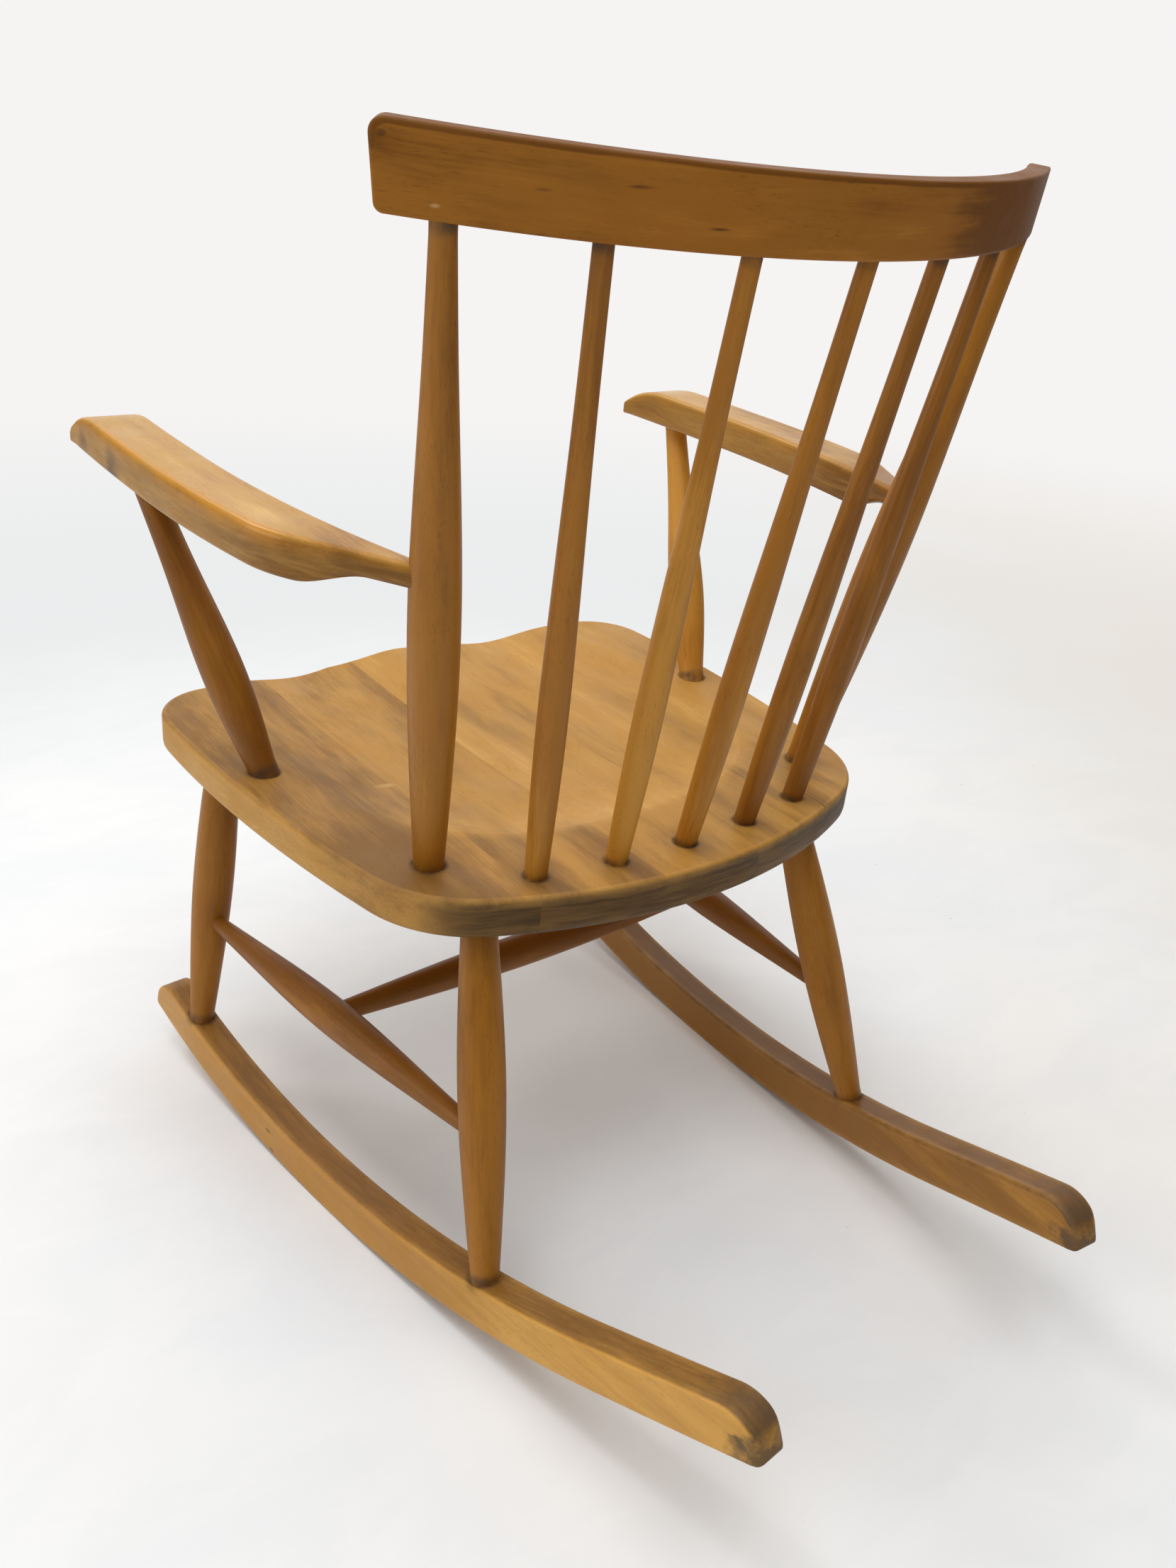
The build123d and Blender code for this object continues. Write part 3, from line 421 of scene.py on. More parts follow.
def plate(
    outline, spine, top, low, top_round, low_round, rings, limits=None, round_steps=6, side_rows=4, normal=None
):
    """Rings of a rounded plate, from its spine over the top, round the edge and back under to the spine.

    With q the outline, m its inward normal and r the rounding, the arris is q + r (1 - sin t) m at height
    top - r (1 - cos t), t from 0 to 90 degrees. Inside it the rings close on the spine by the share
    0.45 s + 0.55 s^2, s being the ring's number as a share of all, at the height top(a, b). The underside is
    the same. Nothing goes past the limits across the piece.
    """
    normal = inward(outline) if normal is None else normal
    top_round = np.broadcast_to(top_round, len(outline)).astype(float)
    low_round = np.broadcast_to(low_round, len(outline)).astype(float)

    def inset(distance):
        """The outline moved inwards, kept between the limits."""
        moved = outline + normal * distance[:, None]
        if limits:
            moved[:, 0] = np.clip(moved[:, 0], *limits)
        return moved

    share = np.linspace(0, 1, rings + 1)[1:, None, None]
    share = 0.45 * share + 0.55 * share**2
    upper_edge, lower_edge = inset(top_round), inset(low_round)
    upper_rings = upper_edge + (spine - upper_edge) * share[::-1]
    lower_rings = lower_edge + (spine - lower_edge) * share
    rows = [np.dstack((upper_rings, top(upper_rings[..., 0], upper_rings[..., 1])))]
    high, deep = top(*upper_edge.T), low(*lower_edge.T)
    for t in np.linspace(0, pi / 2, round_steps):
        place = inset(top_round * (1 - sin(t)))
        rows.append(np.column_stack((place, high - top_round * (1 - cos(t))))[None])
    start, stop = high - top_round, deep + low_round
    for share_down in np.linspace(0, 1, side_rows + 1)[1:-1]:
        rows.append(np.column_stack((outline, start + (stop - start) * share_down))[None])
    for t in np.linspace(pi / 2, 0, round_steps):
        place = inset(low_round * (1 - sin(t)))
        rows.append(np.column_stack((place, deep + low_round * (1 - cos(t))))[None])
    rows.append(np.dstack((lower_rings, low(lower_rings[..., 0], lower_rings[..., 1]))))
    grid = np.concatenate(rows)
    return grid, PlateRows(len(grid), rings, round_steps, side_rows - 1)


def constant(value):
    """A height that is the same everywhere."""
    return lambda a, b: np.full(np.shape(a), float(value))


# ---------------------------------------------------------------- seat
BOARD_STEP, BOARD_RINGS = 3.4, 26
SEAM_INSET = 12.0
OUTER_BOARD_SPINE_U, OUTER_BOARD_SPINE_INSET, BOARD_SPINE_INSET = 207.0, 66.0, 48.0
BOARD_TONES = (-0.5, -0.3, 0.1, -0.05, 0.1)
BOARD_SIDE_PALER, BOARD_REAR_DARKER = 0.7, 0.35
# the dish's rear lip is paler from rubbing and as a painted highlight on the slope that faces the light
BOARD_ARRIS_WEAR, DISH_LIP_WEAR_AND_HIGHLIGHT = (0.6, 0.15), 0.8


def circle_through(start, end, bow):
    """Centre and radius of the arc from start to end that bows out to the right by bow."""
    start, end = np.array(start, float), np.array(end, float)
    half = np.linalg.norm(end - start) / 2
    radius = (half**2 + bow**2) / (2 * bow)
    along = (end - start) / (2 * half)
    outwards = np.array((along[1], -along[0]))
    return (start + end) / 2 - outwards * (radius - bow), radius


def rounding_circle(one, other, radius, near):
    """Centre of the circle of a radius that touches two circles from inside, near a corner."""
    (c1, r1), (c2, r2) = one, other
    d1, d2 = r1 - radius, r2 - radius
    gap = np.linalg.norm(c2 - c1)
    along = (d1**2 - d2**2 + gap**2) / (2 * gap)
    off = sqrt(max(d1**2 - along**2, 0))
    axis = (c2 - c1) / gap
    places = [c1 + axis * along + np.array((-axis[1], axis[0])) * s * off for s in (1, -1)]
    return min(places, key=lambda p: np.linalg.norm(p - near))


def angle_from(centre, point):
    """Direction of a point from a centre, in degrees."""
    return degrees(atan2(point[1] - centre[1], point[0] - centre[0]))


def seat_side_outline():
    """Left edge of the seat in plan, from the middle of the front round to the middle of the rear.

    Three flat arcs, for front, side and rear, with a rounding circle that touches both in each corner.
    """
    half = SEAT_LENGTH / 2
    front_corner = np.array((SEAT_FRONT_HALF, -half + SEAT_FRONT_BOW))
    rear_corner = np.array((SEAT_REAR_HALF, half - SEAT_REAR_BOW))
    front = circle_through(-front_corner * (1, -1), front_corner, SEAT_FRONT_BOW)
    side = circle_through(front_corner, rear_corner, SEAT_SIDE_BOW)
    rear = circle_through(rear_corner, rear_corner * (-1, 1), SEAT_REAR_BOW)
    first = rounding_circle(front, side, SEAT_FRONT_CORNER, front_corner)
    second = rounding_circle(side, rear, SEAT_REAR_CORNER, rear_corner)
    touch = [
        circle[0] + unit(rounding - circle[0]) * circle[1]
        for circle, rounding in ((front, first), (side, first), (side, second), (rear, second))
    ]
    arcs = [
        arc(*front, -90, angle_from(front[0], touch[0]), 200),
        arc(first, SEAT_FRONT_CORNER, angle_from(first, touch[0]), angle_from(first, touch[1]), 40),
        arc(*side, angle_from(side[0], touch[1]), angle_from(side[0], touch[2]), 200),
        arc(second, SEAT_REAR_CORNER, angle_from(second, touch[2]), angle_from(second, touch[3]), 60),
        arc(*rear, angle_from(rear[0], touch[3]), 90, 200),
    ]
    return np.concatenate([points[:-1] for points in arcs[:-1]] + arcs[-1:])


def dish_place(u, v):
    """How far out a place of the seat's top lies in the dish: 0 in its middle, 1 on its edge.

    g = (|u/b|^p + |(v - c)/a|^p)^(1/p), b being the dish's half width, c its centre and a its reach.
    """
    reach = np.where(v > DISH_CENTRE, DISH_REAR_REACH, DISH_FRONT_REACH)
    across, along = np.abs(u / DISH_HALF_WIDTH), np.abs((v - DISH_CENTRE) / reach)
    return (across**DISH_POWER + along**DISH_POWER) ** (1 / DISH_POWER)


def saddle(u, v):
    """Height of the seat's top: a flat-floored dish, a channel for each thigh and a ridge between them.

    The dish is d (1 - g^3) deep. The ridge and the channels are bell curves across the seat, which grow
    towards the front. Where dish and channel meet, the deeper one counts, with a quarter of the other.
    """
    dish = DISH_DEPTH * (1 - np.clip(dish_place(u, v), 0, 1) ** 3)
    ridge = RIDGE_HEIGHT * np.exp(-((u / RIDGE_WIDTH) ** 2)) * rise(-v, RIDGE_START, RIDGE_GROWTH)
    ridge = ridge * np.clip(dish / (DISH_DEPTH / 2), 0, 1)
    channel = CHANNEL_DEPTH * np.exp(-(((np.abs(u) - CHANNEL_OFFSET) / CHANNEL_WIDTH) ** 2))
    channel = channel * rise(-v, CHANNEL_START, CHANNEL_GROWTH)
    return -np.maximum(dish, channel) - 0.25 * np.minimum(dish, channel) + ridge


def board_plan(edge, low, high):
    """Plan of the board between u = low and u = high: its outline, its spine and its share of rounding.

    The share is 1 at the points of the seat's own edge and 0 at those of a glued face.
    """
    widest = np.argmax(edge[:, 0])
    front_u, front_v = edge[: widest + 1].T
    rear_u, rear_v = edge[widest:][::-1].T
    inset = (0, SEAM_INSET)
    if high > OUTER_BOARD_JOINT:
        start = np.array((low, np.interp(low, front_u, front_v)))
        stop = np.array((low, np.interp(low, rear_u, rear_v)))
        curve = np.concatenate(([start], edge[edge[:, 0] > low], [stop]))
        seam = np.array((stop - inset, start + inset))
        runs = ((resampled(curve, BOARD_STEP), 1.0), (resampled(seam, BOARD_STEP), 0.0))
        middle, reach = OUTER_BOARD_SPINE_U, OUTER_BOARD_SPINE_INSET
    else:
        us = np.linspace(low, high, int((high - low) / BOARD_STEP) + 1)
        front = np.stack((us, np.interp(np.abs(us), front_u, front_v)), axis=-1)
        rear = np.stack((us[::-1], np.interp(np.abs(us[::-1]), rear_u, rear_v)), axis=-1)
        right = resampled(np.array((front[-1] + inset, rear[0] - inset)), BOARD_STEP)
        left = resampled(np.array((rear[-1] - inset, front[0] + inset)), BOARD_STEP)
        runs = ((front, 1.0), (right, 0.0), (rear, 1.0), (left, 0.0))
        middle, reach = (low + high) / 2, BOARD_SPINE_INSET
    outline = np.concatenate([points for points, _ in runs])
    rounded = np.concatenate([np.full(len(points), share) for points, share in runs])
    spine_low = np.interp(abs(middle), front_u, front_v) + reach
    spine_high = np.interp(abs(middle), rear_u, rear_v) - reach
    spine = np.stack((np.full(len(outline), middle), np.clip(outline[:, 1], spine_low, spine_high)), axis=-1)
    return outline, spine, rounded


def flush_normals(outline, rounded):
    """Inward normals of a board, those next to a glue joint taken from the edge, so that boards meet flush."""
    normal = inward(outline)
    ends = (rounded > np.roll(rounded, -1))[:, None]
    starts = (rounded > np.roll(rounded, 1))[:, None]
    onwards = np.where(starts, np.roll(normal, -1, axis=0), normal)
    return np.where(ends, np.roll(normal, 1, axis=0), onwards)


def seat_boards():
    """Five boards. Each is a plate between two glue joints, closed by its glued faces.

    Its rubbed places are the upper arris and the rear lip of the dish, where the paler colour is also a
    painted highlight on the slope that faces the light. Behind the dish the top is a little darker, the sides
    are paler, and where they cross the grain they show its ends.
    """
    edge = seat_side_outline()
    half_width = edge[:, 0].max() + 1
    left_joints = (half_width, OUTER_BOARD_JOINT, INNER_BOARD_JOINT)
    joints = left_joints + tuple(-u for u in left_joints[::-1])
    for number, (high, low) in enumerate(zip(joints, joints[1:]), start=1):
        mirror = high <= 0
        if mirror:
            high, low = -low, -high
        outline, spine, rounded = board_plan(edge, low, high)
        normal = flush_normals(outline, rounded)
        grid, rows = plate(
            outline,
            spine,
            saddle,
            constant(-SEAT_THICKNESS),
            SEAT_TOP_ROUND * rounded,
            SEAT_LOWER_ROUND * rounded,
            BOARD_RINGS,
            limits=(low, high),
            normal=normal,
        )
        u, v, height = np.moveaxis(grid, -1, 0)
        out = dish_place(u, v)
        behind = rise(v, 40, 80)
        beyond = rise(out, 1, 0.05) * behind
        # rear lip of the dish: rubbing, and a painted highlight where its slope faces the light
        lip = rise(out, 0.72, 0.22) * (out < 1) * behind * (height > -SEAT_THICKNESS / 2)
        side = rows.side() * rounded
        fields = {
            "tone": BOARD_TONES[number - 1] - BOARD_REAR_DARKER * beyond + BOARD_SIDE_PALER * side,
            "end": 1.0,
            "wear_and_highlight": np.maximum(rows.arris(*BOARD_ARRIS_WEAR) * rounded, DISH_LIP_WEAR_AND_HIGHLIGHT * lip),
            "sawn_and_shaded": side * rise(np.abs(normal[:, 1]), 0.5, 0.4),
        }
        timber = np.stack((v, -u if mirror else u, height), axis=-1)
        make_piece(
            f"board_{number}",
            seat.at(u, v, height),
            timber * MM + np.array((0.31 * number, 0.0, 0.17 * number)),
            seat_wood,
            [f"seat_board_{number}"],
            fields,
            mirror,
        )


# ---------------------------------------------------------------- rockers, rail and arms
ROCKER_STEP, ROCKER_RINGS, ROCKER_SIDE_ROWS, ROCKER_CORNER_POINTS = 4.0, 5, 10, 13
# painted shade on the right rocker, which the chair shades, and painted light on the rockers' rear ends, which
# stand out from under the seat
ROCKER_SHADE, ROCKER_REAR_LIGHT, ROCKER_WEAR = {"left": 0.0, "right": -1.5}, 0.7, 0.8
TIP_LENGTH = 90.0
RAIL_STEP, RAIL_RINGS, RAIL_CORNER_POINTS, RAIL_SPINE_INSET = 4.0, 6, 9, 22.0
# the rail's top edge is darkened as painted shade, against the light it catches from above
RAIL_TOP_SHADE, RAIL_RIGHT_DARKER, RAIL_WEAR = 1.7, 1.8, (0.12, 0.1)
ARM_STEP, ARM_RINGS, ARM_ROUND_STEPS, ARM_CORNER_POINTS = 3.0, 16, 7, 15
ARM_SPINE_FRONT_INSET, ARM_SPINE_REAR_Y, ARM_SPINE_NECK_INSET = 26.0, 62.0, 7.0
ARM_NOSE_END = 0.9985  # share of the quarter ellipse that is left before the nose's blunt end
ARM_NOSE_SHARPER, ARM_NOSE_LOWER_SHARPER, ARM_NECK_ROUNDER = 4.2, 1.5, 2.5
ARM_LEAST_ROUND, ARM_MOST_ROUND_SHARE = 0.5, 0.42
ARM_TONES, ARM_NECK_DARKER, ARM_WEAR = {"left": 0.2, "right": -0.1}, 0.9, (1.0, 0.3)
ARM_INNER_WEAR, ARM_FRONT_SAWN = 0.35, 0.55


def rocker_piece(side, name):
    """A rocker: two concentric arcs in an upright plane, run out straight behind, bowed in plan.

    Behind the arcs the strip goes on along their end's tangent. Near the rear end its width narrows as a
    quarter circle, which rounds the end in plan.
    """
    rear_run = ROCKER_REAR_RUN[name]
    centre = (ROCKER_LOWEST_Y, ROCKER_RADIUS)
    first, last = 270 - ROCKER_FRONT_SWEEP, 270 + ROCKER_REAR_SWEEP
    tangent = np.array((cos(radians(ROCKER_REAR_SWEEP)), sin(radians(ROCKER_REAR_SWEEP))))
    lower = arc(centre, ROCKER_RADIUS, first, last, 260)
    lower = np.concatenate((lower, lower[-1:] + tangent * rear_run))
    upper = arc(centre, ROCKER_RADIUS - ROCKER_HEIGHT, first, last, 260)[::-1]
    upper = np.concatenate((upper[:1] + tangent * rear_run, upper))
    rear_end = np.array((lower[-1], upper[0]))
    front_end = np.array((upper[-1], lower[0]))
    noses = (ROCKER_SMALL_NOSE, ROCKER_SMALL_NOSE, ROCKER_REAR_NOSE, ROCKER_FRONT_NOSE)
    outline = joined([lower, rear_end, upper, front_end], noses, ROCKER_STEP, ROCKER_CORNER_POINTS)
    # the spine is the strip's middle line, 18 mm short of both ends
    middle = resampled((lower + upper[::-1]) / 2, 2.0)[9:-9]
    spine = middle[np.argmin(np.hypot(*(outline[:, None] - middle[None]).transpose(2, 0, 1)), axis=1)]
    half = ROCKER_WIDTH / 2
    grid, rows = plate(
        outline,
        spine,
        constant(half),
        constant(-half),
        ROCKER_ARRIS,
        ROCKER_ARRIS,
        ROCKER_RINGS,
        side_rows=ROCKER_SIDE_ROWS,
    )
    from_end = (rear_end.mean(axis=0) - grid[..., :2]) @ tangent
    short = np.clip(ROCKER_END_ROUND - from_end, 0, ROCKER_END_ROUND - 0.01)
    narrow = 1 - (ROCKER_END_ROUND - np.sqrt(ROCKER_END_ROUND**2 - short**2)) / half
    along, up, across = np.moveaxis(grid, -1, 0)
    fields = {
        # tone: painted shade on the right rocker and painted light towards the rear end
        "tone": ROCKER_SHADE[name] + ROCKER_REAR_LIGHT * rise(along, 60, 140),
        "end": 1.0,
        "wear_and_highlight": rows.arris(ROCKER_WEAR, ROCKER_WEAR, 1),
        "tip": np.clip(1 - np.hypot(*(outline - rear_end[0]).T) / TIP_LENGTH, 0, 1),
        # top face and upper ends darker: end grain at the tips, painted shade under the seat along the rest
        "sawn_and_shaded": rows.side() * rise(outline[:, 1] - spine[:, 1], 0, 8),
    }
    make_piece(
        f"{name}_rocker",
        rocker_plane.at(along, up, across * narrow + rocker_bow(along)),
        grid * MM + np.array((0.3 * side, 0.2, 0.6)),
        rocker_wood,
        [f"{name}_rocker"],
        fields,
        side < 0,
    )


def rail_piece():
    """The crest rail: a rounded plate drawn flat, bent round the rail's axis and leaned back.

    A flat point (s, z) goes to the angle s/R (1 + z tan(flare)/h), h being the rail's half length, which
    gives the slanted ends. The upper arris and top edge are darker, a painted shade where they turn up to the
    light, and the right-hand end is darker too.
    """
    half = radians(RAIL_HALF_ANGLE) * RAIL_RADIUS
    corners = np.array(((-half, 0.0), (half, 0.0), (half, RAIL_DEPTH), (-half, RAIL_DEPTH)))
    edges = [corners[[k, (k + 1) % 4]] for k in range(4)]
    roundings = (RAIL_BOTTOM_CORNER, RAIL_BOTTOM_CORNER, RAIL_TOP_CORNER, RAIL_TOP_CORNER)
    outline = joined(edges, roundings, RAIL_STEP, RAIL_CORNER_POINTS)
    spine_s = np.clip(outline[:, 0], -half + RAIL_SPINE_INSET, half - RAIL_SPINE_INSET)
    spine = np.stack((spine_s, np.full(len(outline), RAIL_DEPTH / 2)), axis=-1)
    thick = RAIL_THICKNESS / 2
    grid, rows = plate(
        outline, spine, constant(thick), constant(-thick), RAIL_FRONT_ARRIS, RAIL_REAR_ARRIS, RAIL_RINGS
    )
    s, z, inwards = np.moveaxis(grid, -1, 0)
    turn = s / RAIL_RADIUS * (1 + tan(radians(RAIL_END_FLARE)) / half * z)
    radius = RAIL_RADIUS - inwards
    # painted shade on the top edge, which faces up to the light
    high = rise(outline[:, 1], 30, 14)
    fields = {
        "tone": -RAIL_TOP_SHADE * rows.side() * high - RAIL_RIGHT_DARKER * rise(-s, 20, 180),
        "end": 1.0,
        "wear_and_highlight": rows.arris(*RAIL_WEAR) * high,
    }
    make_piece(
        "crest_rail",
        rail_plane.at(radius * np.sin(turn), radius * np.cos(turn) - RAIL_RADIUS, z),
        grid * MM + np.array((0.0, 0.4, 0.9)),
        rail_wood,
        ["crest_rail"],
        fields,
    )


def arm_outline(front_y):
    """Plan of an arm on the left: two edges of two arcs each, the outer one turned in to the neck."""
    half = ARM_WIDTH / 2
    front_centre = (ARM_WIDEST_X - ARM_FRONT_RADIUS, ARM_WIDEST_Y)
    rear_centre = (ARM_WIDEST_X - ARM_REAR_RADIUS, ARM_WIDEST_Y)
    front_turn = degrees(asin((front_y - ARM_WIDEST_Y) / ARM_FRONT_RADIUS))
    shoulder_turn = degrees(asin((ARM_SHOULDER_Y - ARM_WIDEST_Y) / (ARM_REAR_RADIUS + half)))
    neck_turn = degrees(asin(arm_run / (ARM_REAR_RADIUS - half)))
    outer = np.concatenate(
        (
            arc(front_centre, ARM_FRONT_RADIUS + half, front_turn, 0, 120)[:-1],
            arc(rear_centre, ARM_REAR_RADIUS + half, 0, shoulder_turn, 120),
        )
    )
    inner = np.concatenate(
        (
            arc(rear_centre, ARM_REAR_RADIUS - half, neck_turn, 0, 160)[:-1],
            arc(front_centre, ARM_FRONT_RADIUS - half, 0, front_turn, 120),
        )
    )
    tangent = unit(inner[0] - inner[1])
    neck_end = inner[0] + np.array((tangent[1], -tangent[0])) * ARM_NECK_WIDTH
    taper = np.array((outer[-1], neck_end))
    neck = np.array((neck_end, inner[0]))
    front = np.array((inner[-1], outer[0]))
    roundings = (ARM_CORNER, ARM_SHOULDER_ROUND, 0, 0, ARM_CORNER)
    return joined([outer, taper, neck, inner, front], roundings, ARM_STEP, ARM_CORNER_POINTS)


def arm_top_height(front_y):
    """Level board whose nose falls as a quarter ellipse.

    z = -T (1 - sqrt(1 - x^2)), T being the arm's thickness and x going from 0 to 1 over the nose.
    """

    def height(u, v):
        x = np.clip((front_y + ARM_NOSE_LENGTH - v) / ARM_NOSE_LENGTH, 0, ARM_NOSE_END)
        return -ARM_THICKNESS * (1 - np.sqrt(1 - x * x))

    return height


def arm_low_height(u, v):
    """Flat underside, scooped up by an S curve to the thin neck."""
    scoop = rise(v, ARM_SCOOP_START, ARM_SCOOP_LENGTH)
    return -ARM_THICKNESS + (ARM_THICKNESS - ARM_NECK_THICKNESS) * scoop


def arm_piece(side, name):
    """An arm: a plate whose top and underside heights change along it.

    Its arrises get sharper where it thins at the nose, and no rounding takes more than a share of its height.
    """
    front_y = ARM_FRONT_Y[name]
    outline = arm_outline(front_y)
    edge_v = outline[:, 1]
    top_height = arm_top_height(front_y)
    back = rise(edge_v, ARM_SHOULDER_Y, 100)
    spine_v = np.clip(edge_v, front_y + ARM_SPINE_FRONT_INSET, ARM_SPINE_REAR_Y)
    middle = arm_middle_x(spine_v)
    spine_u = middle * (1 - back) + (middle - ARM_WIDTH / 2 + ARM_SPINE_NECK_INSET) * back
    most = ARM_MOST_ROUND_SHARE * (top_height(*outline.T) - arm_low_height(*outline.T))
    nose = rise(front_y + 14 - edge_v, 0, 12)
    neck = rise(edge_v, 0, 30)
    top_round = ARM_TOP_ROUND - ARM_NOSE_SHARPER * nose
    low_round = ARM_LOWER_ROUND + ARM_NECK_ROUNDER * neck - ARM_NOSE_LOWER_SHARPER * nose
    grid, rows = plate(
        outline,
        np.stack((spine_u, spine_v), axis=-1),
        top_height,
        arm_low_height,
        np.maximum(np.minimum(top_round, most), ARM_LEAST_ROUND),
        np.maximum(np.minimum(low_round, most), ARM_LEAST_ROUND),
        ARM_RINGS,
        round_steps=ARM_ROUND_STEPS,
    )
    u, v, height = np.moveaxis(grid, -1, 0)
    outer = rise(outline[:, 0] - arm_middle_x(edge_v), 4, 8)
    fields = {
        "tone": ARM_TONES[name] - ARM_NECK_DARKER * rise(v, -60, 80),
        "end": 1.0,
        "wear_and_highlight": rows.arris(*ARM_WEAR, 1) * (ARM_INNER_WEAR + (1 - ARM_INNER_WEAR) * outer),
        "sawn_and_shaded": rows.side() * (ARM_FRONT_SAWN + (1 - ARM_FRONT_SAWN) * rise(edge_v, -120, 110)),
    }
    make_piece(
        f"{name}_arm",
        arm_plane.at(u, v, height),
        np.stack((v, u, height), axis=-1) * MM + np.array((0.2 * side, 0.5, 0.1)),
        arm_wood,
        [f"{name}_arm"],
        fields,
        side < 0,
    )


# ---------------------------------------------------------------- materials
class Graph:
    """Short names for building a node tree."""

    def __init__(self, name):
        self.material = bpy.data.materials.new(name)
        self.material.use_nodes = True
        self.tree = self.material.node_tree
        self.tree.nodes.clear()

    def node(self, kind, inputs=(), **settings):
        """A node with its settings and its inputs, each a number, a colour or another node's socket."""
        made = self.tree.nodes.new("ShaderNode" + kind)
        for key, value in settings.items():
            setattr(made, key, value)
        for key, value in dict(inputs).items():
            if isinstance(value, bpy.types.NodeSocket):
                self.tree.links.new(value, made.inputs[key])
            else:
                made.inputs[key].default_value = value
        return made

    def math(self, operation, *values):
        """One number from several, taken two at a time from the left."""
        result = values[0]
        for value in values[1:]:
            result = self.node("Math", {0: result, 1: value}, operation=operation).outputs[0]
        return result

    def product(self, *values):
        """Several numbers multiplied."""
        return self.math("MULTIPLY", *values)

    def total(self, *values):
        """Several numbers added."""
        return self.math("ADD", *values)

    def vector(self, operation, one, other=(0, 0, 0), out=0):
        """One vector or length from one or two vectors."""
        return self.node("VectorMath", {0: one, 1: other}, operation=operation).outputs[out]

    def noise(self, place, scale, detail=3.0, rough=0.55, distortion=0.0):
        """Smooth noise between 0 and 1 of a place scaled along each axis, or by one number along all."""
        scale = scale if isinstance(scale, tuple) else (scale, scale, scale)
        scaled = self.vector("MULTIPLY", place, scale)
        return self.node(
            "TexNoise",
            {"Vector": scaled, "Scale": 1.0, "Detail": detail, "Roughness": rough, "Distortion": distortion},
        ).outputs["Fac"]

    def ramp(self, value, low, high, start=0.0, end=1.0):
        """A value between low and high spread smoothly over start to end, and held beyond."""
        made = self.node(
            "MapRange",
            {"Value": value, "From Min": low, "From Max": high, "To Min": start, "To Max": end},
            interpolation_type="SMOOTHSTEP",
        )
        return made.outputs["Result"]

    def mix(self, share, one, other, blend="MIX"):
        """Two colours mixed by a share."""
        made = self.node("Mix", {0: share, 6: one, 7: other}, data_type="RGBA", blend_type=blend)
        return made.outputs[2]

    def over(self, colour, shade, *shares):
        """A shade laid over a colour by the product of the shares."""
        return self.mix(self.product(*shares), colour, shade)

    def tinted(self, colour, tint):
        """A colour multiplied by a tint."""
        return self.mix(1.0, colour, tint, "MULTIPLY")

    def attribute(self, name, out="Fac"):
        """A value kept in the mesh."""
        return self.node("Attribute", attribute_name=name).outputs[out]

    def near(self, place, centre, inner, outer, stretch=(1, 1, 1)):
        """1 within inner of a centre, 0 beyond outer, both in mm, the axes stretched first."""
        away = self.vector("SUBTRACT", place, tuple(c * MM for c in centre))
        away = self.vector("MULTIPLY", away, stretch)
        return self.ramp(self.vector("LENGTH", away, out=1), inner * MM, outer * MM, 1.0, 0.0)

    def finished(self, shader):
        """The material, with the shader as its surface."""
        out = self.node("OutputMaterial")
        self.tree.links.new(shader.outputs[0], out.inputs["Surface"])
        return self.material


def srgb(red, green, blue):
    """A colour given in 0 to 255 screen values, as the shader's linear values."""
    screen = [value / 255 for value in (red, green, blue)]
    linear = [c / 12.92 if c <= 0.04045 else ((c + 0.055) / 1.055) ** 2.4 for c in screen]
    return (*linear, 1.0)


# how often a mark repeats in a metre along the timber's length, width and depth
WARP, CLOUDS, BANDS, FIBRES = (5.0, 20.0, 20.0), (6.0, 22.0, 22.0), (4.0, 75.0, 75.0), (22.0, 620.0, 620.0)
RAYS, RAY_CROWDS, PORES = (150.0, 1150.0, 1150.0), (12.0, 50.0, 50.0), (420.0, 3600.0, 3600.0)
END_RINGS, END_BLOTCHES, STAIN_STREAKS = (30.0, 18.0, 330.0), (11.0, 9.0, 60.0), (12.0, 40.0, 40.0)

# how much each kind of grain lightens or darkens the wood, and how far the level runs to its lightest
CLOUD_SHARE, BAND_SHARE, FIBRE_SHARE, TONE_SHARE = 0.9, 0.9, 0.30, 0.30
LEVEL_DROP, LEVEL_REACH = 0.15, 0.34
FIBRE_RELIEF, FLECK_RELIEF = 0.45, -0.4
FLECK_DULLNESS, GRIME_DULLNESS, TIP_DULLNESS = 0.1, 0.22, 0.2
JOINT_DIRT_FULL, JOINT_DIRT_REACH = 1.0, 9.0

AMBER_LACQUER = (1.0, 0.83, 0.52, 1.0)
RAY_BROWN = (0.05, 0.02, 0.008, 1.0)
KNOT_BROWN = (0.045, 0.022, 0.010, 1.0)
DIRT = (0.035, 0.020, 0.011, 1.0)
JOINT_DIRT = (0.060, 0.035, 0.018, 1.0)
TIP_DIRT = (0.085, 0.055, 0.032, 1.0)
SMUDGE = srgb(120, 84, 42)


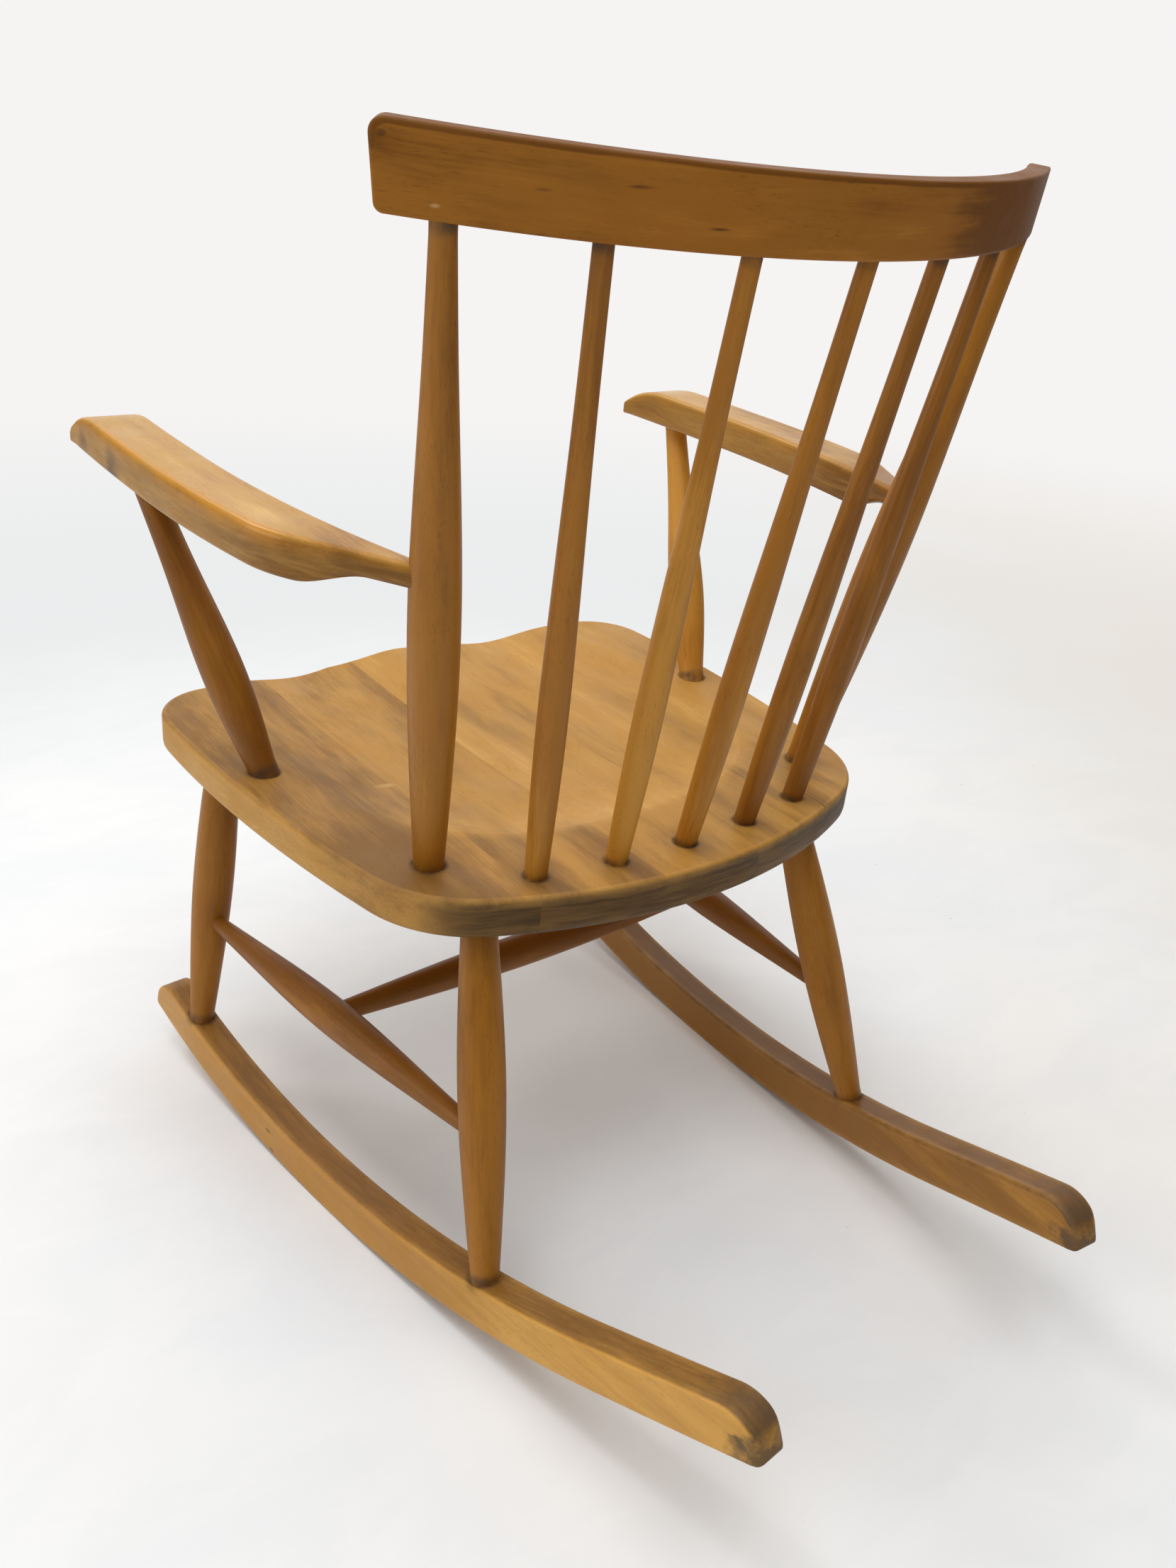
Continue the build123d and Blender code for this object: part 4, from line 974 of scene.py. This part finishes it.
def wood(
    name,
    light,
    middle,
    dark,
    seed,
    streak,
    mottle,
    fleck,
    gloss=0.42,
    coat=0.06,
    shine=0.3,
    worn=None,
    end_grain=None,
    grime=None,
    close_dirt=0.0,
    tip_dirt=0.0,
    stains=(),
    knots=(),
):
    """Lacquered close-grained wood.

    Its colour goes from dark to light by soft clouds drawn out along the grain, by fine fibres and by each
    piece's tone, which on some pieces is painted light and shade. Short dark flecks, stains, knots and dirt
    at the joints darken it, worn arrises are paler and end grain is darker; on the rockers' tops the same
    darkening is painted shade, and on the seat's dish lip the paleness is partly a painted highlight. Grain
    is noise over the timber's own axes: slow along the first, quick across the other two.
    """
    g = Graph(name)
    grain = g.vector("ADD", g.attribute("timber", "Vector"), (seed, seed * 0.37, seed * 0.73))
    place = g.node("TexCoord").outputs["Object"]
    warp = g.math("SUBTRACT", g.noise(grain, WARP, 2.0), 0.5)
    shift = g.node("CombineXYZ", {"Y": g.product(warp, 0.018), "Z": g.product(warp, 0.012)})
    bent = g.vector("ADD", grain, shift.outputs[0])
    fibres = g.noise(bent, FIBRES, 4.0, 0.65)
    level = g.total(
        g.product(g.noise(bent, CLOUDS, 4.0, 0.6), CLOUD_SHARE * mottle),
        g.product(g.noise(bent, BANDS, 3.0, 0.6), BAND_SHARE * streak),
        g.product(fibres, FIBRE_SHARE),
        g.product(g.attribute("tone"), TONE_SHARE),
        -(CLOUD_SHARE * mottle + BAND_SHARE * streak) / 2 - LEVEL_DROP,
    )
    colour = g.mix(g.ramp(level, -LEVEL_REACH, 0.0), dark, middle)
    colour = g.mix(g.ramp(level, 0.0, LEVEL_REACH), colour, light)
    # amber where the lacquer lies thick
    amber = g.ramp(g.noise(place, 13.0, 3.0, 0.6), 0.35, 0.68)
    colour = g.over(colour, g.tinted(colour, AMBER_LACQUER), amber, 0.22)
    # rays are short dark dashes along the grain, pores finer ones
    crowd = g.ramp(g.noise(grain, RAY_CROWDS, 2.0), 0.40, 0.62)
    flecks = g.product(g.ramp(g.noise(grain, RAYS, 1.0, 0.5), 0.60, 0.72), crowd)
    colour = g.over(colour, g.mix(0.8, dark, RAY_BROWN), flecks, fleck)
    pores = g.ramp(g.noise(grain, PORES, 1.0, 0.5), 0.64, 0.76)
    colour = g.over(colour, dark, pores, 0.22)
    dull = g.product(flecks, FLECK_DULLNESS)
    blotch = g.noise(place, 70.0, 4.0, 0.65)
    # end grain darker; on the rockers' tops the same darkening is painted shade
    if end_grain:
        shade, strength, least = end_grain
        rings = g.total(g.noise(bent, END_RINGS, 4.0, 0.62), g.noise(bent, END_BLOTCHES, 3.0, 0.6))
        colour = g.over(colour, shade, g.attribute("sawn_and_shaded"), g.ramp(rings, 0.78, 1.28, 1.0, least), strength)
    if worn:
        shade, strength = worn
        patchy = g.ramp(g.noise(place, 26.0, 5.0, 0.7), 0.36, 0.62, 0.25, 1.0)
        colour = g.over(colour, shade, g.attribute("wear_and_highlight"), patchy, strength)
    for centre, size, stretch, shade, strength in stains:
        spot = g.near(place, centre, size * 0.15, size, stretch)
        streaks = g.ramp(g.noise(bent, STAIN_STREAKS, 4.0, 0.55), 0.30, 0.66, 0.1, 1.0)
        colour = g.over(colour, shade, spot, streaks, strength)
    for centre, size, stretch, strength in knots:
        colour = g.over(colour, KNOT_BROWN, g.near(place, centre, size * 0.4, size, stretch), strength)
    if grime:
        shade, strength, feet = grime
        dirt = g.math("MAXIMUM", *[g.near(place, centre, inner, outer) for centre, inner, outer in feet])
        dirt = g.product(dirt, g.ramp(blotch, 0.30, 0.62, 0.35, 1.0))
        colour = g.over(colour, shade, dirt, strength)
        dull = g.total(dull, g.product(dirt, GRIME_DULLNESS))
    if close_dirt:
        close = g.ramp(g.attribute("end"), JOINT_DIRT_FULL * MM, JOINT_DIRT_REACH * MM, 1.0, 0.0)
        colour = g.over(colour, JOINT_DIRT, close, g.ramp(blotch, 0.32, 0.66, 0.25, 1.0), close_dirt)
    if tip_dirt:
        rubbed = g.total(g.attribute("tip"), g.product(g.math("SUBTRACT", blotch, 0.5), 0.7))
        corner = g.ramp(rubbed, 0.62, 0.95)
        on_top = g.product(g.ramp(rubbed, 0.10, 0.9), g.attribute("sawn_and_shaded"))
        rubbed = g.math("MAXIMUM", on_top, corner)
        colour = g.over(colour, TIP_DIRT, rubbed, tip_dirt)
        dull = g.total(dull, g.product(rubbed, TIP_DULLNESS))
    # lacquer: uneven gloss, and the grain and small dents showing through
    uneven = g.noise(place, 16.0, 4.0, 0.6)
    rough = g.total(g.ramp(uneven, 0.3, 0.7, gloss - 0.05, gloss + 0.10), dull)
    height = g.total(g.product(fibres, FIBRE_RELIEF), g.product(flecks, FLECK_RELIEF))
    bump = g.node("Bump", {"Strength": 0.14, "Distance": 0.0004, "Height": height})
    dents = g.noise(place, 34.0, 3.0, 0.5)
    wave = g.node("Bump", {"Strength": 0.30, "Distance": 0.0011, "Height": dents, "Normal": bump.outputs[0]})
    shader = g.node(
        "BsdfPrincipled",
        {
            "Base Color": colour,
            "Roughness": rough,
            "IOR": 1.46,
            "Specular IOR Level": shine,
            "Normal": wave.outputs[0],
            "Coat Weight": coat,
            "Coat Roughness": 0.16,
            "Coat Normal": wave.outputs[0],
        },
    )
    return g.finished(shader)


def both(place):
    """A place on the left and its mirror image on the right."""
    return [place * (side, 1, 1) for side, name in SIDES]


# dirt round the feet: how far from the stick's middle it is full, and how far it reaches
SPINDLE_DIRT, POST_DIRT, SUPPORT_DIRT, LEG_DIRT = (9.2, 13.0), (12.2, 16.5), (12.4, 16.5), (12.2, 17.5)
feet_on_seat = [
    *((foot, *SPINDLE_DIRT) for foot, head in spindles),
    *((foot, *POST_DIRT) for foot in both(post[0])),
    *((foot, *SUPPORT_DIRT) for foot in both(support[0])),
]
feet_on_rockers = [(foot, *LEG_DIRT) for leg in (front_leg, rear_leg) for foot in both(leg[0])]

# stains: centre, reach, stretch of the axes, shade, strength; knots have no shade of their own
SEAT_SMUDGES = (
    ((216, -206, 385), 34, (1, 0.45, 1), 0.5),
    ((189, -200, 385), 26, (1, 0.5, 1), 0.45),
    ((178, -165, 382), 32, (1, 0.6, 1), 0.5),
    ((198, 14, 373), 34, (1.4, 0.5, 1), 0.35),
    ((79, -162, 382), 44, (1.2, 0.3, 1), 0.4),
    ((2, -210, 385), 46, (1.6, 0.35, 1), 0.5),
    ((-42, -207, 385), 40, (2.5, 0.4, 1), 0.7),
    ((-150, -120, 380), 60, (1.4, 0.4, 1), 0.45),
    ((120, -20, 370), 44, (1.6, 0.4, 1), 0.4),
)
SEAT_SCRAPE = ((156, -124, 380), 16, (1.0, 3.0, 1), srgb(220, 184, 122), 0.4)
SPINDLE_FOOT_STAIN = (34.0, (1, 0.8, 1), SMUDGE, 0.65)
RAIL_PALE_MARK = ((266, 123, 847), 4, (1, 1, 2.5), srgb(206, 168, 118), 0.7)
RAIL_STREAK = srgb(84, 50, 22)
RAIL_STAINS = (
    RAIL_PALE_MARK,
    ((216, 153, 858), 7, (1, 1, 5), RAIL_STREAK, 0.8),
    ((166, 175, 862), 11, (0.9, 1, 7), RAIL_STREAK, 0.9),
    ((115, 187, 842), 9, (0.9, 1, 7), RAIL_STREAK, 0.9),
)
RAIL_KNOTS = (((292, 111, 881), 3.6, (1, 1, 1.4), 0.5),)
NOSE_SPOTS = (((313, -343, 639), 10), ((316, -270, 633), 13))
FLANK_KNOTS = ((256.2, -175.2, 27.3), (255.8, -170.4, 8.0))

seat_wood = wood(
    "seat_wood",
    srgb(212, 164, 88),
    srgb(186, 137, 62),
    srgb(138, 98, 46),
    0.0,
    streak=0.28,
    mottle=1.0,
    fleck=0.25,
    gloss=0.50,
    coat=0.0,
    worn=(srgb(212, 160, 84), 0.55),
    end_grain=(srgb(64, 43, 14), 0.97, 0.80),
    grime=(DIRT, 0.85, feet_on_seat),
    stains=[
        *((foot, *SPINDLE_FOOT_STAIN) for foot, head in spindles),
        *((centre, size, stretch, SMUDGE, strength) for centre, size, stretch, strength in SEAT_SMUDGES),
        SEAT_SCRAPE,
    ],
)
rail_wood = wood(
    "rail_wood",
    srgb(186, 124, 46),
    srgb(158, 102, 33),
    srgb(116, 70, 19),
    3.1,
    streak=0.4,
    mottle=1.3,
    fleck=0.35,
    gloss=0.50,
    coat=0.02,
    shine=0.15,
    worn=(srgb(200, 146, 78), 0.5),
    stains=RAIL_STAINS,
    knots=RAIL_KNOTS,
)
arm_wood = wood(
    "arm_wood",
    srgb(218, 174, 100),
    srgb(190, 143, 68),
    srgb(146, 100, 38),
    5.3,
    streak=0.4,
    mottle=1.0,
    fleck=0.3,
    gloss=0.36,
    coat=0.14,
    shine=0.2,
    worn=(srgb(206, 138, 40), 0.6),
    end_grain=(srgb(108, 68, 8), 0.95, 0.5),
    stains=[(spot, size, (1, 0.6, 0.5), srgb(70, 44, 26), 0.75) for spot, size in NOSE_SPOTS],
)
turned_wood = wood(
    "turned_wood",
    srgb(200, 142, 52),
    srgb(164, 107, 26),
    srgb(128, 79, 16),
    7.7,
    streak=0.4,
    mottle=0.7,
    fleck=0.35,
    gloss=0.44,
    coat=0.04,
    close_dirt=0.8,
)
rocker_wood = wood(
    "rocker_wood",
    srgb(218, 164, 74),
    srgb(188, 133, 48),
    srgb(146, 98, 32),
    9.9,
    streak=0.35,
    mottle=0.7,
    fleck=0.3,
    worn=(srgb(214, 160, 84), 0.35),
    # the end-grain shade also darkens the rockers' top faces, as painted shade under the seat
    end_grain=(srgb(104, 66, 22), 0.82, 0.7),
    grime=(DIRT, 0.75, feet_on_rockers),
    tip_dirt=0.85,
    knots=[(knot, 3.6, (1, 0.6, 1.4), 0.6) for knot in FLANK_KNOTS],
)


# ---------------------------------------------------------------- sticks
def stretcher(ends, middle, *stations):
    """Stations of a stretcher that is the same towards both ends and thickest in its middle."""
    length = np.linalg.norm(ends[1] - ends[0])
    mirrored = [(-place, diameter) for place, diameter in stations[::-1]]
    return (*stations, (length / 2, middle), *mirrored)


side_bar = (front_joint, rear_joint)
cross_bar = (right_middle, left_middle)
SIDE_BAR = stretcher(side_bar, SIDE_BAR_MIDDLE, SIDE_BAR_END, SIDE_BAR_TAPER)
CROSS_BAR = stretcher(cross_bar, CROSS_BAR_MIDDLE, CROSS_BAR_END)

# each stick's ends, stations, how far it runs past its ends into its neighbours, and its tones at foot and
# head, for the left one and the right one; the side stretchers' dark tones are painted shade under the seat
STICKS = (
    ("back_post", post, POST, (9.0, 5.0), (-0.2, -0.3), (-0.3, -0.1)),
    ("arm_support", support, SUPPORT, (9.0, 9.0), (-0.8, -0.8), (0.5, 1.4)),
    ("front_leg", front_leg, LEG, (9.0, 9.0), (-0.3, -0.3), (-0.3, -0.3)),
    ("rear_leg", rear_leg, LEG, (9.0, 9.0), (-0.2, -0.5), (-0.1, -0.1)),
    ("side_stretcher", side_bar, SIDE_BAR, (5.0, 5.0), (-0.9, -0.9), (-0.9, -0.9)),
)
SPINDLE_RUNS, CROSS_BAR_RUNS = (9.0, 9.0), (3.0, 3.0)
# painted light and shade in the tones: the first spindles lighter at the foot than at the head, the cross bar
# dark under the seat
SPINDLE_TONES_AND_LIGHT = ((0.3, -0.4), (1.3, 0.2), (0.4, -0.4), (-0.7, -0.7), (-0.8, -0.8))
CROSS_BAR_SHADE = (-0.9, -0.9)


# ---------------------------------------------------------------- the chair
# an offset is a piece's own place in the timber, in metres, so that no two pieces show the same grain
seat_boards()
rail_piece()
for side, name in SIDES:
    arm_piece(side, name)
    rocker_piece(side, name)

for number, (ends, tones) in enumerate(zip(spindles, SPINDLE_TONES_AND_LIGHT), start=1):
    offset = (0.11 * number, 0.23 * number, 0.05)
    node = f"back_spindle_{number}"
    turned(f"spindle_{number}", ends, SPINDLE, SPINDLE_RUNS, node, offset, tones, 1.3 * number)
for side, name in SIDES:
    for order, (part, ends, stations, runs, left_tones, right_tones) in enumerate(STICKS):
        offset = (0.7 * order + 0.35 * side, 0.4 * side, 0.19 * order)
        tones, node = (left_tones if side > 0 else right_tones), f"{name}_{part}"
        turned(node, ends, stations, runs, node, offset, tones, 0.9 * order + side, side < 0)
offset = (4.1, 0.3, 0.2)
turned("cross_bar", cross_bar, CROSS_BAR, CROSS_BAR_RUNS, "cross_stretcher", offset, CROSS_BAR_SHADE, 0.0)


# ---------------------------------------------------------------- floor, camera and light
BACKDROP = (0.920, 0.905, 0.898, 1.0)
PAPER_COOL, PAPER_PLAIN = (0.880, 0.890, 0.895, 1.0), (0.920, 0.918, 0.910, 1.0)
PAPER_WARM = (0.88, 0.84, 0.79, 1.0)
GLOW_COOL, GLOW_WARM = (0.83, 0.845, 0.85, 1.0), (0.80, 0.76, 0.71, 1.0)
# painted tints: a cool one in the chair's shadow, and faint shade in the paper's creases
SHADE_TINT, CREASE_SHADE_TINT = (0.97, 1.0, 1.03, 1.0), (0.955, 0.960, 0.968, 1.0)
SPECK_BROWN = (0.30, 0.26, 0.22, 1.0)
SHADE_CENTRE, SHADE_INNER, SHADE_OUTER = (100, -100, 0), 150, 480
WARM_SIDE = (-0.79, 0.61, 0.0)
GLOW_START, GLOW_FULL, BACKDROP_START, BACKDROP_FULL = 0.80, 1.75, 1.5, 4.5
AMBIENT_COLOUR, AMBIENT_STRENGTH = (0.97, 0.98, 1.0, 1), 0.11
FLOOR_HALF, FLOOR_CELLS = 9.0, 60
FLOOR_CENTRE = (-0.1, -0.2, 0.0)
CAMERA_PLACE, CAMERA_LENS, CAMERA_SENSOR = (0.69241, 0.80937, 0.87191), 31.577, 36.0
CAMERA_RIGHT, CAMERA_UP = (-0.79088, 0.60953, 0.05465), (-0.21136, -0.35586, 0.91033)
LIGHT_TARGET = (0, 0, 0.35)


def paper():
    """White paper with a few specks, soft creases painted as faint shade, a painted cool tint in the chair's
    shadow, and warmer on one side.

    Past the middle of the floor the camera sees it glow as evenly as the backdrop.
    """
    g = Graph("paper_floor")
    place = g.node("TexCoord").outputs["Object"]
    tint = g.ramp(g.noise(place, 2.0, 3.0), 0.3, 0.7)
    colour = g.mix(tint, PAPER_COOL, PAPER_PLAIN)
    aside = g.vector("DOT_PRODUCT", place, WARM_SIDE, out=1)
    # painted cool tint in the chair's shadow on the floor
    shaded = g.near(place, SHADE_CENTRE, SHADE_INNER, SHADE_OUTER)
    colour = g.mix(shaded, colour, g.tinted(colour, SHADE_TINT))
    warm = g.ramp(g.total(aside, g.product(tint, 0.3)), 0.3, 1.5)
    colour = g.mix(warm, colour, PAPER_WARM)
    # creases painted as faint cool shade
    crease_shade = g.ramp(g.noise(place, (5.0, 9.0, 9.0), 4.0, 0.6, 0.6), 0.40, 0.62)
    colour = g.over(colour, g.tinted(colour, CREASE_SHADE_TINT), crease_shade, 0.6)
    specks = g.ramp(g.noise(place, 95.0, 1.0), 0.80, 0.84)
    colour = g.over(colour, SPECK_BROWN, specks, 0.5)
    sheet = g.node("BsdfDiffuse", {"Color": colour})
    away = g.vector("LENGTH", g.vector("SUBTRACT", place, FLOOR_CENTRE), out=1)
    nearby = g.mix(warm, GLOW_COOL, GLOW_WARM)
    glow_colour = g.mix(g.ramp(away, BACKDROP_START, BACKDROP_FULL), nearby, BACKDROP)
    glow = g.node("Emission", {"Color": glow_colour, "Strength": 1.0})
    share = g.product(g.ramp(away, GLOW_START, GLOW_FULL), g.node("LightPath").outputs["Is Camera Ray"])
    return g.finished(g.node("MixShader", {0: share, 1: sheet.outputs[0], 2: glow.outputs[0]}))


def stage_sheet():
    """The paper the chair stands on, a flat square grid."""
    side_points = FLOOR_CELLS + 1
    along = np.linspace(-FLOOR_HALF, FLOOR_HALF, side_points)
    xs, ys = np.meshgrid(along, along, indexing="ij")
    points = np.stack((xs, ys, np.zeros_like(xs)), axis=-1).reshape(-1, 3)
    i, j = np.meshgrid(np.arange(FLOOR_CELLS), np.arange(FLOOR_CELLS), indexing="ij")
    first = i * side_points + j
    corners = (first, first + side_points, first + side_points + 1, first + 1)
    mesh = bpy.data.meshes.new("floor")
    mesh.from_pydata(points.tolist(), [], np.stack(corners, axis=-1).reshape(-1, 4).tolist())
    mesh.materials.append(paper())
    floor = bpy.data.objects.new("floor", mesh)
    bpy.context.scene.collection.objects.link(floor)


def world_light():
    """White to the camera, and a weak even light on everything else."""
    world = bpy.data.worlds.new("studio")
    world.use_nodes = True
    tree = world.node_tree
    tree.nodes.clear()
    path = tree.nodes.new("ShaderNodeLightPath")
    mix = tree.nodes.new("ShaderNodeMixShader")
    tree.links.new(path.outputs["Is Camera Ray"], mix.inputs[0])
    for socket, (colour, strength) in enumerate(((AMBIENT_COLOUR, AMBIENT_STRENGTH), (BACKDROP, 1.0)), start=1):
        background = tree.nodes.new("ShaderNodeBackground")
        background.inputs["Color"].default_value = colour
        background.inputs["Strength"].default_value = strength
        tree.links.new(background.outputs[0], mix.inputs[socket])
    out = tree.nodes.new("ShaderNodeOutputWorld")
    tree.links.new(mix.outputs[0], out.inputs["Surface"])
    bpy.context.scene.world = world


def area_light(name, direction, rise_angle, away, size, power, colour=(1, 1, 1)):
    """A rectangular soft light on a compass direction and at a rise in degrees, facing the chair."""
    x, y = unit(direction) * cos(radians(rise_angle))
    target = Vector(LIGHT_TARGET)
    place = target + Vector((x, y, sin(radians(rise_angle)))) * away
    data = bpy.data.lights.new(name, "AREA")
    data.shape = "RECTANGLE"
    data.size, data.size_y = size
    data.energy = power
    data.color = colour
    lamp = bpy.data.objects.new(name, data)
    lamp.visible_camera = False
    facing = (target - place).to_track_quat("-Z", "Y").to_matrix().to_4x4()
    lamp.matrix_world = Matrix.Translation(place) @ facing
    bpy.context.scene.collection.objects.link(lamp)


def camera():
    """The view: from behind the sitter's left shoulder, looking down and forwards."""
    data = bpy.data.cameras.new("camera")
    data.sensor_fit = "AUTO"
    data.sensor_width = CAMERA_SENSOR
    data.lens = CAMERA_LENS
    data.clip_start, data.clip_end = 0.05, 40
    eye = bpy.data.objects.new("camera", data)
    right, up = Vector(CAMERA_RIGHT), Vector(CAMERA_UP)
    turn = Matrix((right, up, right.cross(up))).transposed().to_4x4()
    eye.matrix_world = Matrix.Translation(CAMERA_PLACE) @ turn
    bpy.context.scene.collection.objects.link(eye)
    bpy.context.scene.camera = eye


stage_sheet()
world_light()
area_light("overhead", (0.5, 0.8), 80, 3.0, (3.0, 3.0), 66)
area_light("front", (0.35, -0.95), 50, 6.0, (1.6, 1.6), 72)
area_light("beyond", (-0.6, -0.75), 30, 3.3, (6.0, 3.4), 62, (1.0, 0.99, 0.97))
area_light("left", (0.9, -0.35), 17, 3.0, (1.8, 1.4), 23)
area_light("behind", (0.6, 0.75), 50, 3.0, (2.0, 2.0), 16)
camera()

scene = bpy.context.scene
scene.view_settings.view_transform = "Standard"
